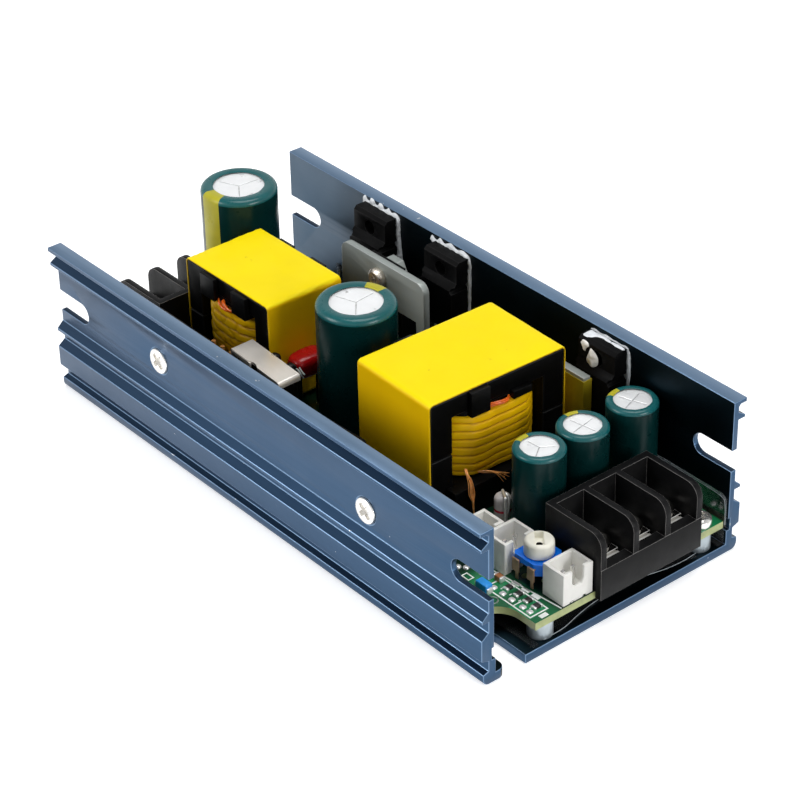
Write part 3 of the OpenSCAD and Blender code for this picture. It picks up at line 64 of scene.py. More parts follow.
def makeCamera():
    data = bpy.data.cameras.new("camera")
    data.lens = studio["lens"]
    data.sensor_width = 36.0
    data.clip_start = 0.01
    data.clip_end = 20.0
    camera = bpy.data.objects.new("camera", data)
    camera.location = studio["cameraPlace"]
    camera.rotation_euler = [math.radians(a) for a in studio["cameraTurn"]]
    scene.collection.objects.link(camera)
    scene.camera = camera


def makeLamp(name, place, target, size, power, colour=(1.0, 1.0, 1.0)):
    data = bpy.data.lights.new(name, "AREA")
    data.shape = "DISK"
    data.size = size
    data.energy = power
    data.color = colour
    lamp = bpy.data.objects.new(name, data)
    lamp.location = place
    lamp.rotation_euler = (Vector(target) - Vector(place)).to_track_quat("-Z", "Y").to_euler()
    scene.collection.objects.link(lamp)


def showsBackground(tree):
    # 1 for rays from the camera and for rays that metal and glass send on, 0 for the light on the part
    path = tree.nodes.new("ShaderNodeLightPath")
    seen = path.outputs["Is Camera Ray"]
    for kind in ("Is Glossy Ray", "Is Transmission Ray"):
        either = tree.nodes.new("ShaderNodeMath")
        either.operation = "MAXIMUM"
        tree.links.new(seen, either.inputs[0])
        tree.links.new(path.outputs[kind], either.inputs[1])
        seen = either.outputs[0]
    return seen


def makeWorld():
    world = bpy.data.worlds.new("studioWorld")
    scene.world = world
    world.use_nodes = True
    tree = world.node_tree
    tree.nodes.clear()
    out = tree.nodes.new("ShaderNodeOutputWorld")
    # White near the horizon, like the paper sweep, and a dim ceiling above it
    where = tree.nodes.new("ShaderNodeTexCoord")
    parts = tree.nodes.new("ShaderNodeSeparateXYZ")
    tree.links.new(where.outputs["Generated"], parts.inputs["Vector"])
    fade = tree.nodes.new("ShaderNodeValToRGB")
    fade.color_ramp.elements[0].position = 0.30
    fade.color_ramp.elements[0].color = (1.0, 1.0, 1.0, 1.0)
    fade.color_ramp.elements[1].position = 0.9
    fade.color_ramp.elements[1].color = (0.3, 0.31, 0.32, 1.0)
    tree.links.new(parts.outputs["Z"], fade.inputs["Fac"])
    seen = tree.nodes.new("ShaderNodeBackground")
    tree.links.new(fade.outputs["Color"], seen.inputs["Color"])
    seen.inputs["Strength"].default_value = 1.0
    lit = tree.nodes.new("ShaderNodeBackground")
    lit.inputs["Color"].default_value = (0.96, 0.98, 1.0, 1.0)
    lit.inputs["Strength"].default_value = studio["worldStrength"]
    mix = tree.nodes.new("ShaderNodeMixShader")
    tree.links.new(showsBackground(tree), mix.inputs[0])
    tree.links.new(lit.outputs[0], mix.inputs[1])
    tree.links.new(seen.outputs[0], mix.inputs[2])
    tree.links.new(mix.outputs[0], out.inputs[0])


def makeFloor():
    mesh = bpy.data.meshes.new("studioFloor")
    side = 6.0
    mesh.from_pydata([(-side, -side, 0), (side, -side, 0), (side, side, 0), (-side, side, 0)], [], [(0, 1, 2, 3)])
    floor = bpy.data.objects.new("studioFloor", mesh)
    floor.location.z = -0.02 * mm
    scene.collection.objects.link(floor)
    mat = bpy.data.materials.new("floorPaper")
    mat.use_nodes = True
    tree = mat.node_tree
    tree.nodes.clear()
    out = tree.nodes.new("ShaderNodeOutputMaterial")
    paper = tree.nodes.new("ShaderNodeBsdfDiffuse")
    paper.inputs["Color"].default_value = studio["floorColour"]
    glow = tree.nodes.new("ShaderNodeEmission")
    share = tree.nodes.new("ShaderNodeMath")
    share.operation = "MULTIPLY"
    share.inputs[1].default_value = studio["floorGlow"]
    tree.links.new(showsBackground(tree), share.inputs[0])
    tree.links.new(share.outputs[0], glow.inputs["Strength"])
    add = tree.nodes.new("ShaderNodeAddShader")
    tree.links.new(paper.outputs[0], add.inputs[0])
    tree.links.new(glow.outputs[0], add.inputs[1])
    tree.links.new(add.outputs[0], out.inputs[0])
    mesh.materials.append(mat)


makeCamera()
makeWorld()
makeFloor()
makeLamp("overheadSoftbox", (0.02, 0.10, 0.85), (0.0, 0.0, 0.0), studio["keySize"], studio["keyPower"])
makeLamp("leftSoftbox", (-0.30, -0.75, 0.42), (0.0, 0.0, 0.02), 0.5, studio["fillPower"])
makeLamp("rightSoftbox", (0.90, 0.10, 0.32), (0.0, 0.0, 0.02), 0.45, studio["rimPower"])
scene.view_settings.view_transform = "Standard"
print("studio ready")


# Materials: every one is built from noise and ramps in the object's own coordinates

def startMaterial(name, roughness=0.5, metallic=0.0, coat=0.0, coatRoughness=0.1, specular=0.5):
    mat = bpy.data.materials.new(name)
    mat.use_nodes = True
    tree = mat.node_tree
    tree.nodes.clear()
    out = tree.nodes.new("ShaderNodeOutputMaterial")
    shader = tree.nodes.new("ShaderNodeBsdfPrincipled")
    tree.links.new(shader.outputs["BSDF"], out.inputs["Surface"])
    shader.inputs["Roughness"].default_value = roughness
    shader.inputs["Metallic"].default_value = metallic
    shader.inputs["Coat Weight"].default_value = coat
    shader.inputs["Coat Roughness"].default_value = coatRoughness
    shader.inputs["Specular IOR Level"].default_value = specular
    return mat, tree, shader


def places(tree, stretch=(1.0, 1.0, 1.0)):
    where = tree.nodes.new("ShaderNodeTexCoord")
    scale = tree.nodes.new("ShaderNodeMapping")
    scale.inputs["Scale"].default_value = stretch
    tree.links.new(where.outputs["Object"], scale.inputs["Vector"])
    return scale.outputs["Vector"]


def speckle(tree, scale, detail=4.0, roughness=0.55, stretch=(1.0, 1.0, 1.0)):
    grain = tree.nodes.new("ShaderNodeTexNoise")
    grain.inputs["Scale"].default_value = scale
    grain.inputs["Detail"].default_value = detail
    grain.inputs["Roughness"].default_value = roughness
    tree.links.new(places(tree, stretch), grain.inputs["Vector"])
    return grain.outputs["Fac"]


def ramp(tree, source, stops):
    fade = tree.nodes.new("ShaderNodeValToRGB")
    band = fade.color_ramp
    while len(band.elements) < len(stops):
        band.elements.new(0.5)
    for element, (spot, colour) in zip(band.elements, stops):
        element.position = spot
        element.color = tuple(colour) + (1.0,)
    tree.links.new(source, fade.inputs["Fac"])
    return fade.outputs["Color"]


def level(tree, source, low, high, fromLow=0.3, fromHigh=0.7):
    fit = tree.nodes.new("ShaderNodeMapRange")
    fit.inputs["From Min"].default_value = fromLow
    fit.inputs["From Max"].default_value = fromHigh
    fit.inputs["To Min"].default_value = low
    fit.inputs["To Max"].default_value = high
    tree.links.new(source, fit.inputs["Value"])
    return fit.outputs["Result"]


def relief(tree, shader, source, strength, distance, before=None):
    bump = tree.nodes.new("ShaderNodeBump")
    bump.inputs["Strength"].default_value = strength
    bump.inputs["Distance"].default_value = distance
    tree.links.new(source, bump.inputs["Height"])
    if before is not None:
        tree.links.new(before.outputs["Normal"], bump.inputs["Normal"])
    tree.links.new(bump.outputs["Normal"], shader.inputs["Normal"])
    return bump


def blendColours(tree, share, first, second):
    mix = tree.nodes.new("ShaderNodeMix")
    mix.data_type = "RGBA"
    tree.links.new(share, mix.inputs["Factor"])
    tree.links.new(first, mix.inputs[6])
    tree.links.new(second, mix.inputs[7])
    return mix.outputs[2]


def shade(colour, factor):
    return tuple(min(1.0, c * factor) for c in colour)


def varied(tree, colour, spread, scale, stretch=(1.0, 1.0, 1.0)):
    return ramp(tree, speckle(tree, scale, stretch=stretch),
                [(0.3, shade(colour, 1.0 - spread)), (0.7, shade(colour, 1.0 + spread))])


def plainMaterial(name, colour, roughness=0.5, spread=0.12, scale=900.0, metallic=0.0, coat=0.0,
                  grain=0.15, grainScale=4000.0, specular=0.5, stretch=(1.0, 1.0, 1.0), roughSpread=0.08):
    mat, tree, shader = startMaterial(name, roughness, metallic, coat, specular=specular)
    tree.links.new(varied(tree, colour, spread, scale, stretch), shader.inputs["Base Color"])
    tree.links.new(level(tree, speckle(tree, scale * 0.6), roughness - roughSpread, roughness + roughSpread),
                   shader.inputs["Roughness"])
    if grain:
        relief(tree, shader, speckle(tree, grainScale, 2.0, stretch=stretch), grain, 0.03 * mm)
    return mat


def along(tree, axis, start, end):
    # 0 before the first place along the axis and 1 after the second
    where = tree.nodes.new("ShaderNodeTexCoord")
    parts = tree.nodes.new("ShaderNodeSeparateXYZ")
    tree.links.new(where.outputs["Object"], parts.inputs["Vector"])
    return level(tree, parts.outputs[axis], 0.0, 1.0, start * mm, end * mm)


def facingUp(tree):
    # 1 where the surface looks up or down and 0 on its sides
    where = tree.nodes.new("ShaderNodeTexCoord")
    parts = tree.nodes.new("ShaderNodeSeparateXYZ")
    tree.links.new(where.outputs["Normal"], parts.inputs["Vector"])
    size = tree.nodes.new("ShaderNodeMath")
    size.operation = "ABSOLUTE"
    tree.links.new(parts.outputs["Z"], size.inputs[0])
    return level(tree, size.outputs[0], 0.0, 1.0, 0.4, 0.7)


def anodisedMaterial(name, colour, roughness, nicks=0.0, deep=None):
    # Fine lines along the extrusion, soft cloudy patches, and a few bright nicks
    mat, tree, shader = startMaterial(name, roughness, 1.0)
    lines = varied(tree, colour, 0.07, 900.0, (0.01, 1.0, 1.0))
    clouds = varied(tree, colour, 0.05, 45.0)
    base = blendColours(tree, speckle(tree, 120.0), lines, clouds)
    if nicks:
        spots = level(tree, speckle(tree, 480.0, 5.0, 0.62), 0.0, 1.0, 1.0 - nicks, 1.01 - nicks)
        base = blendColours(tree, spots, base, varied(tree, (0.62, 0.66, 0.7), 0.1, 700.0))
    # Painted shade: from x -52 mm to -30 mm the colour fades into the dark colour given, standing in for the shade deep
    # in the channel
    if deep:
        base = blendColours(tree, along(tree, "X", -52.0, -30.0), base, varied(tree, deep, 0.2, 60.0))
    tree.links.new(base, shader.inputs["Base Color"])
    tree.links.new(level(tree, speckle(tree, 70.0), roughness - 0.04, roughness + 0.05),
                   shader.inputs["Roughness"])
    matte = relief(tree, shader, speckle(tree, 9000.0, 2.0), 0.12, 0.01 * mm)
    relief(tree, shader, speckle(tree, 1500.0, 3.0, stretch=(0.01, 1.0, 1.0)), 0.1, 0.02 * mm, matte)
    return mat


def filmMaterial():
    mat, tree, shader = startMaterial("clearFilm", 0.12, specular=0.4)
    tree.links.new(varied(tree, (0.8, 0.85, 0.88), 0.05, 200.0), shader.inputs["Base Color"])
    through = tree.nodes.new("ShaderNodeBsdfTransparent")
    gloss = tree.nodes.new("ShaderNodeBsdfGlossy")
    gloss.inputs["Roughness"].default_value = 0.08
    rim = tree.nodes.new("ShaderNodeFresnel")
    rim.inputs["IOR"].default_value = 1.25
    thin = tree.nodes.new("ShaderNodeMixShader")
    tree.links.new(rim.outputs[0], thin.inputs[0])
    tree.links.new(through.outputs[0], thin.inputs[1])
    tree.links.new(gloss.outputs[0], thin.inputs[2])
    haze = tree.nodes.new("ShaderNodeMixShader")
    tree.links.new(level(tree, speckle(tree, 90.0), 0.01, 0.05), haze.inputs[0])
    tree.links.new(thin.outputs[0], haze.inputs[1])
    tree.links.new(shader.outputs[0], haze.inputs[2])
    out = next(n for n in tree.nodes if n.type == "OUTPUT_MATERIAL")
    tree.links.new(haze.outputs[0], out.inputs["Surface"])
    return mat


def boardMaterial():
    # Green solder mask with slightly lighter tracks on top, tan resin on the cut edge
    mat, tree, shader = startMaterial("solderMask", 0.3, coat=0.35, coatRoughness=0.15, specular=0.35)
    mask = varied(tree, (0.006, 0.13, 0.045), 0.25, 140.0)
    tracks = varied(tree, (0.012, 0.24, 0.085), 0.15, 300.0)
    cells = tree.nodes.new("ShaderNodeTexVoronoi")
    cells.feature = "F1"
    cells.distance = "CHEBYCHEV"
    cells.inputs["Scale"].default_value = 170.0
    tree.links.new(places(tree), cells.inputs["Vector"])
    top = blendColours(tree, level(tree, cells.outputs["Distance"], 1.0, 0.0, 0.42, 0.48), mask, tracks)
    # Painted shade: dark green under and between the parts, plain green at both corners of the output end
    shadeGreen = varied(tree, (0.002, 0.022, 0.010), 0.25, 200.0)
    shadeAcrossY = blendColours(tree, along(tree, "Y", -14.0, -12.4), top, shadeGreen)
    shadeAcrossY = blendColours(tree, along(tree, "Y", 20.5, 23.0), shadeAcrossY, top)
    top = blendColours(tree, along(tree, "X", 46.0, 50.0), shadeGreen, shadeAcrossY)
    edge = varied(tree, (0.40, 0.45, 0.19), 0.15, 600.0)
    tree.links.new(blendColours(tree, facingUp(tree), edge, top), shader.inputs["Base Color"])
    relief(tree, shader, speckle(tree, 2500.0, 2.0), 0.08, 0.02 * mm)
    return mat


def tapeMaterial():
    # Polyester tape with faint scuffs: bright yellow on top, and on its sides a deeper ochre that is painted shade
    mat, tree, shader = startMaterial("yellowTape", 0.4, specular=0.14)
    top = varied(tree, (0.98, 0.76, 0.003), 0.03, 120.0)
    side = varied(tree, (1.0, 0.59, 0.0015), 0.04, 90.0)
    # Painted shade: the sides take the darker ochre, the top the bright yellow
    whole = blendColours(tree, facingUp(tree), side, top)
    scuffs = level(tree, speckle(tree, 260.0, 6.0, 0.7), 0.0, 0.5, 0.66, 0.74)
    tree.links.new(blendColours(tree, scuffs, whole, varied(tree, (0.5, 0.34, 0.01), 0.2, 500.0)),
                   shader.inputs["Base Color"])
    tree.links.new(level(tree, speckle(tree, 150.0), 0.3, 0.48), shader.inputs["Roughness"])
    relief(tree, shader, speckle(tree, 500.0, 3.0), 0.12, 0.06 * mm)
    return mat


def creasedMaterial(name, colour, deep, roughness, specular=0.3, coat=0.0):
    # The mesh carries how deep each crease is, and the creases are painted darker as painted shade
    mat, tree, shader = startMaterial(name, roughness, coat=coat, coatRoughness=0.25, specular=specular)
    crease = tree.nodes.new("ShaderNodeAttribute")
    crease.attribute_name = "crease"
    light = varied(tree, colour, 0.08, 260.0)
    creaseShade = varied(tree, deep, 0.2, 400.0)
    tree.links.new(blendColours(tree, level(tree, crease.outputs["Fac"], 0.0, 1.0, 0.1, 0.9), light, creaseShade),
                   shader.inputs["Base Color"])
    tree.links.new(level(tree, speckle(tree, 500.0), roughness - 0.08, roughness + 0.1),
                   shader.inputs["Roughness"])
    relief(tree, shader, speckle(tree, 1500.0, 3.0), 0.15, 0.05 * mm)
    return mat


def canTopMaterial():
    # Bright aluminium with fine scratches and a darker scuff, with painted shade where the crease is deep
    mat, tree, shader = startMaterial("canTop", 0.42, 0.4, specular=0.5)
    crease = tree.nodes.new("ShaderNodeAttribute")
    crease.attribute_name = "crease"
    bright = varied(tree, (0.94, 0.95, 0.96), 0.04, 300.0)
    scuff = varied(tree, (0.5, 0.5, 0.5), 0.2, 900.0)
    worn = blendColours(tree, level(tree, speckle(tree, 330.0, 5.0, 0.65), 0.0, 1.0, 0.62, 0.72), bright, scuff)
    creaseShade = varied(tree, (0.16, 0.16, 0.16), 0.3, 700.0)
    tree.links.new(blendColours(tree, level(tree, crease.outputs["Fac"], 0.0, 1.0, 0.15, 1.0), worn, creaseShade),
                   shader.inputs["Base Color"])
    relief(tree, shader, speckle(tree, 1800.0, 4.0), 0.2, 0.04 * mm)
    return mat


def glassMaterial():
    # Milky grey glass with one red band
    mat, tree, shader = startMaterial("diodeGlass", 0.12, coat=0.6, coatRoughness=0.05)
    height = tree.nodes.new("ShaderNodeAttribute")
    height.attribute_name = "band"
    milky = varied(tree, (0.60, 0.57, 0.57), 0.15, 500.0)
    red = varied(tree, (0.55, 0.02, 0.06), 0.1, 700.0)
    tree.links.new(blendColours(tree, height.outputs["Fac"], milky, red), shader.inputs["Base Color"])
    return mat


materials = {
    "anodised": anodisedMaterial("slateBlueAnodising", (0.043, 0.087, 0.157), 0.36, 0.27),
    # Rounded edges: a lighter blue, part wear and part painted highlight
    "anodisedEdgeHighlightWear": anodisedMaterial("slateBlueEdgesHighlightAndWear", (0.15, 0.235, 0.36), 0.32, 0.3),
    # Lips: a lighter blue, painted light on the tops
    "anodisedLitTop": anodisedMaterial("slateBlueLipsPaintedLight", (0.17, 0.26, 0.385), 0.34, 0.28),
    # Upward ledges in the grooves: a darker blue, painted shade
    "anodisedGrooveShade": anodisedMaterial("slateBlueGroovesPaintedShade", (0.018, 0.038, 0.072), 0.5, 0.15),
    # Faces looking into the channel: painted shade that darkens towards +X
    "anodisedInsideShade": anodisedMaterial("slateBlueInsidePaintedShade", (0.052, 0.09, 0.135), 0.42, 0.25,
                                       (0.005, 0.012, 0.017)),
    "film": filmMaterial(),
    # Pale edge lines of the film: painted highlight
    "filmEdgeHighlight": plainMaterial("filmEdgeHighlight", (0.55, 0.62, 0.66), 0.25, 0.1, 300.0, grain=0.0),
    "board": boardMaterial(),
    "steel": plainMaterial("nickelledSteel", (0.88, 0.86, 0.82), 0.2, 0.08, metallic=0.85, grain=0.02,
                           grainScale=1500.0),
    # Near black for the inside of the rotor's hole: painted shade
    "recessPaintedShade": plainMaterial("recessPaintedShade", (0.03, 0.028, 0.026), 0.6, 0.2, specular=0.1),
    "zinc": plainMaterial("zincPlate", (0.44, 0.50, 0.54), 0.42, 0.1, 500.0, metallic=0.7),
    "black": plainMaterial("blackMoulding", (0.0018, 0.0018, 0.002), 0.46, 0.2, 700.0, grain=0.25,
                           grainScale=5000.0, specular=0.07),
    "blackWorn": plainMaterial("blackEdges", (0.009, 0.009, 0.0095), 0.42, 0.25, 900.0, specular=0.16),
    "charcoal": plainMaterial("charcoalMoulding", (0.004, 0.004, 0.0044), 0.42, 0.2, 500.0, grain=0.3,
                              grainScale=6000.0, specular=0.12),
    "dusty": plainMaterial("dustyEdges", (0.16, 0.155, 0.15), 0.55, 0.25, 1200.0, specular=0.3),
    "glossBlack": plainMaterial("glossyBlack", (0.0018, 0.0018, 0.002), 0.4, 0.2, 500.0, coat=0.02, grain=0.1,
                                specular=0.1),
    "tin": plainMaterial("tinnedLead", (0.86, 0.86, 0.84), 0.24, 0.1, metallic=0.65, grain=0.02, grainScale=1500.0),
    "paste": plainMaterial("whitePaste", (0.74, 0.77, 0.80), 0.5, 0.12, 700.0, grain=0.5, grainScale=2200.0),
    "plateGrey": plainMaterial("milledAluminium", (0.30, 0.33, 0.315), 0.5, 0.06, 250.0, metallic=0.3,
                               stretch=(0.1, 1.0, 1.0)),
    "plateEdge": plainMaterial("milledEdges", (0.36, 0.38, 0.375), 0.4, 0.08, 300.0, metallic=0.5),
    "contact": plainMaterial("contactTin", (0.92, 0.91, 0.88), 0.36, 0.05, 300.0, metallic=0.25, grain=0.0),
    "headSteel": plainMaterial("terminalSteel", (0.62, 0.60, 0.56), 0.16, 0.1, 300.0, metallic=1.0, grain=0.0),
    "brass": plainMaterial("dullBrass", (0.66, 0.60, 0.52), 0.3, 0.12, metallic=0.8),
    "ferrite": plainMaterial("ferrite", (0.0014, 0.0014, 0.0015), 0.46, 0.25, 600.0, grain=0.35, grainScale=3000.0,
                             specular=0.05),
    "ferriteEdge": plainMaterial("ferriteEdges", (0.006, 0.006, 0.0065), 0.4, 0.25, 700.0, specular=0.14),
    # Winding tape in the deeper ochre of the tape's shaded sides, painted shade, and a darker brown in the creases,
    # painted shade too
    "windingTape": creasedMaterial("windingTape", (1.0, 0.56, 0.0015), (0.42, 0.17, 0.0015), 0.36, 0.2),
    "yellowTape": tapeMaterial(),
    "tapeEdge": plainMaterial("tapeEdges", (0.80, 0.50, 0.004), 0.5, 0.1, 300.0, specular=0.25),
    "copper": plainMaterial("enamelledCopper", (1.0, 0.42, 0.13), 0.25, 0.1, coat=0.2, specular=0.6),
    "orangeWire": plainMaterial("orangeWire", (0.80, 0.14, 0.010), 0.28, 0.2, 800.0, coat=0.2),
    "canTop": canTopMaterial(),
    # Sleeve sides: a far darker teal than the shoulder, painted shade
    "sleeve": plainMaterial("greenSleeveShaded", (0.001, 0.022, 0.022), 0.3, 0.12, 300.0, coat=0.02, grain=0.1,
                            grainScale=2500.0, specular=0.16),
    # Sleeve shoulder: the lighter teal, painted light from above
    "sleeveRimLit": plainMaterial("sleeveShoulderLit", (0.007, 0.098, 0.105), 0.28, 0.1, 300.0, coat=0.08, grain=0.12,
                               grainScale=2500.0, specular=0.3),
    "stripe": plainMaterial("oliveStripe", (0.46, 0.42, 0.03), 0.34, 0.08, 300.0, coat=0.03, grain=0.1, specular=0.2),
    "white": plainMaterial("whiteMoulding", (0.90, 0.89, 0.85), 0.36, 0.03, 400.0, grain=0.1, specular=0.35),
    "blue": plainMaterial("blueMoulding", (0.004, 0.18, 0.85), 0.3, 0.08, 400.0, grain=0.1, specular=0.35),
    "cream": plainMaterial("creamMoulding", (0.93, 0.91, 0.80), 0.36, 0.05, 500.0, grain=0.15),
    "brown": plainMaterial("brownLegs", (0.36, 0.23, 0.14), 0.4, 0.15, 500.0, metallic=0.4),
    "nickel": plainMaterial("nickelStrip", (0.92, 0.87, 0.80), 0.34, 0.05, 300.0, metallic=0.6,
                            stretch=(0.2, 1.0, 1.0)),
    "red": plainMaterial("redDip", (0.36, 0.004, 0.005), 0.26, 0.15, 400.0, coat=0.12, grain=0.08, specular=0.3),
    "sleeving": plainMaterial("blackSleeving", (0.004, 0.004, 0.004), 0.38, 0.15, specular=0.2),
    "olive": plainMaterial("oliveTape", (0.30, 0.23, 0.008), 0.35, 0.12, 300.0),
    "glassGrey": glassMaterial(),
    "silk": plainMaterial("whiteSilk", (0.90, 0.93, 0.90), 0.5, 0.06, 900.0),
    "solder": plainMaterial("solderBump", (0.90, 0.90, 0.89), 0.22, 0.08, 700.0, metallic=0.5),
    "resistor": plainMaterial("chipBody", (0.022, 0.020, 0.018), 0.35, 0.2, 900.0),
    "chipBrown": plainMaterial("chipBrown", (0.36, 0.14, 0.05), 0.42, 0.15, 900.0),
    "chipBlue": plainMaterial("chipBlue", (0.02, 0.30, 0.80), 0.3, 0.1, 700.0),
}
print("materials made:", len(materials))


# Mesh helpers: sizes are in millimetres until a piece is finished


def edgesOf(node):
    low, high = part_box(node)
    return low / mm, high / mm


def noiseAt(point, scale, seed=0.0):
    return noise.noise(Vector(point).to_3d() * scale + Vector((seed, seed * 0.7, seed * 1.3)))


def showPiece(piece, rides, stands, like):
    scene.collection.objects.link(piece)
    if stands:
        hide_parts(*stands)
    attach(piece, rides)
    return piece


def finishPiece(name, bm, mats, rides="supply", stands=(), like=None, smooth=34.0, place=None):
    if place is not None:
        bm.transform(place)
    bm.transform(Matrix.Scale(mm, 4))
    bmesh.ops.recalc_face_normals(bm, faces=bm.faces)
    mesh = bpy.data.meshes.new(name)
    bm.to_mesh(mesh)
    bm.free()
    for mat in mats:
        mesh.materials.append(materials[mat])
    mesh.polygons.foreach_set("use_smooth", [True] * len(mesh.polygons))
    mesh.set_sharp_from_angle(angle=math.radians(smooth))
    piece = bpy.data.objects.new(name, mesh)
    return showPiece(piece, rides, stands, like or (stands[0] if stands else None))


def applied(piece):
    graph = bpy.context.evaluated_depsgraph_get()
    mesh = bpy.data.meshes.new_from_object(piece.evaluated_get(graph))
    piece.modifiers.clear()
    old = piece.data
    piece.data = mesh
    bpy.data.meshes.remove(old)


def roundedCopy(node, width, mats, segments=2, angle=30.0, rides="supply"):
    # The node's own form with its edges rounded, the rounded edges in the second material
    bm = bmesh.new()
    bm.from_mesh(nodes[node].data)
    bmesh.ops.remove_doubles(bm, verts=bm.verts, dist=0.002 * mm)
    bmesh.ops.dissolve_limit(bm, angle_limit=math.radians(0.6), verts=bm.verts, edges=bm.edges)
    for face in bm.faces:
        face.material_index = 0
        face.smooth = True
    mesh = bpy.data.meshes.new(node + "_round")
    bm.to_mesh(mesh)
    bm.free()
    for mat in mats:
        mesh.materials.append(materials[mat])
    piece = bpy.data.objects.new(node + "_round", mesh)
    showPiece(piece, rides, [node], node)
    soft = piece.modifiers.new("soft", "BEVEL")
    soft.width = width * mm
    soft.segments = segments
    soft.limit_method = "ANGLE"
    soft.angle_limit = math.radians(angle)
    soft.harden_normals = True
    soft.material = len(mats) - 1
    bpy.context.view_layer.update()
    applied(piece)
    return piece


def spin(bm, profile, steps, wobble=None, joined=False, tintOf=None):
    # Turns a profile of (radius, height) about Z; joined closes the profile into a ring
    rings = []
    for index, (radius, height) in enumerate(profile):
        ring = []
        for step in range(steps):
            angle = 2.0 * math.pi * step / steps
            r, z = (radius, height) if wobble is None else wobble(index, radius, height, angle)
            ring.append(bm.verts.new((r * math.cos(angle), r * math.sin(angle), z)))
        rings.append(ring)
    pairs = [(i, i + 1) for i in range(len(rings) - 1)]
    if joined:
        pairs.append((len(rings) - 1, 0))
    for a, b in pairs:
        for i in range(steps):
            j = (i + 1) % steps
            face = bm.faces.new((rings[a][i], rings[a][j], rings[b][j], rings[b][i]))
            if tintOf:
                face.material_index = tintOf(a, 2.0 * math.pi * (i + 0.5) / steps)
    if not joined:
        bm.faces.new(list(reversed(rings[0])))
        bm.faces.new(rings[-1])
    return rings


def bridge(bm, rings, tint=0, ends=True):
    # Walls between neighbouring rings, with both ends closed
    count = len(rings[0])
    for low, high in zip(rings, rings[1:]):
        for i in range(count):
            j = (i + 1) % count
            bm.faces.new((low[i], low[j], high[j], high[i])).material_index = tint
    if ends:
        bm.faces.new(list(reversed(rings[0]))).material_index = tint
        bm.faces.new(rings[-1]).material_index = tint


def smoothPath(points, per=8):
    # Catmull-Rom curve through the points
    points = [Vector(p) for p in points]
    ends = [points[0] * 2 - points[1]] + points + [points[-1] * 2 - points[-2]]
    path = []
    for i in range(1, len(ends) - 2):
        a, b, c, d = ends[i - 1:i + 3]
        for k in range(per):
            t = k / per
            path.append(0.5 * (2 * b + (c - a) * t + (2 * a - 5 * b + 4 * c - d) * t * t
                               + (3 * b - a - 3 * c + d) * t * t * t))
    path.append(points[-1])
    return path


def tube(bm, points, radius, sides=10, per=8, tint=0):
    # Round wire along a smooth path, with domed ends
    path = smoothPath(points, per)
    along = [(path[min(i + 1, len(path) - 1)] - path[max(i - 1, 0)]).normalized() for i in range(len(path))]
    side = along[0].orthogonal().normalized()
    rings = []
    for i, spot in enumerate(path):
        side = (side - along[i] * side.dot(along[i])).normalized()
        other = along[i].cross(side)
        rings.append([spot + (side * math.cos(a) + other * math.sin(a)) * radius
                      for a in (2 * math.pi * k / sides for k in range(sides))])
    first = [p * 0.6 + path[0] * 0.4 - along[0] * radius * 0.5 for p in rings[0]]
    last = [p * 0.6 + path[-1] * 0.4 + along[-1] * radius * 0.5 for p in rings[-1]]
    rows = [[bm.verts.new(p) for p in ring] for ring in [first] + rings + [last]]
    bridge(bm, rows, tint)


def block(bm, low, high, soft=0.0, segments=2, tint=0):
    # Box between two corners with rounded edges
    made = bmesh.ops.create_cube(bm, size=1.0)
    for vert in made["verts"]:
        vert.co = Vector([low[i] + (high[i] - low[i]) * (vert.co[i] + 0.5) for i in range(3)])
    faces = {face for vert in made["verts"] for face in vert.link_faces}
    for face in faces:
        face.material_index = tint
    if soft:
        edges = {edge for vert in made["verts"] for edge in vert.link_edges}
        bmesh.ops.bevel(bm, geom=list(edges), offset=soft, segments=segments, affect="EDGES", profile=0.5,
                        clamp_overlap=True, material=-1)


def prism(bm, outline, low, high, soft=0.0, tint=0):
    # Flat outline raised from one height to another
    base = [bm.verts.new((p[0], p[1], low)) for p in outline]
    top = [bm.verts.new((p[0], p[1], high)) for p in outline]
    faces = [bm.faces.new(list(reversed(base))), bm.faces.new(top)]
    for i in range(len(outline)):
        j = (i + 1) % len(outline)
        faces.append(bm.faces.new((base[i], base[j], top[j], top[i])))
    for face in faces:
        face.material_index = tint
    if soft:
        edges = {edge for vert in base + top for edge in vert.link_edges}
        bmesh.ops.bevel(bm, geom=list(edges), offset=soft, segments=2, affect="EDGES", profile=0.5,
                        clamp_overlap=True, material=-1)


def dome(bm, x, y, low, wide, deep, tall, power=2.6, tint=0, sides=24):
    # Low rounded mound, between an ellipse and a box in plan
    rows = []
    for share, up in ((1.0, 0.0), (0.98, 0.35), (0.88, 0.7), (0.66, 0.92), (0.3, 1.0)):
        ring = []
        for k in range(sides):
            a = 2 * math.pi * k / sides
            c, s = math.cos(a), math.sin(a)
            px = math.copysign(abs(c) ** (2 / power), c) * wide / 2 * share
            py = math.copysign(abs(s) ** (2 / power), s) * deep / 2 * share
            ring.append(bm.verts.new((x + px, y + py, low + up * tall)))
        rows.append(ring)
    bridge(bm, rows, tint)


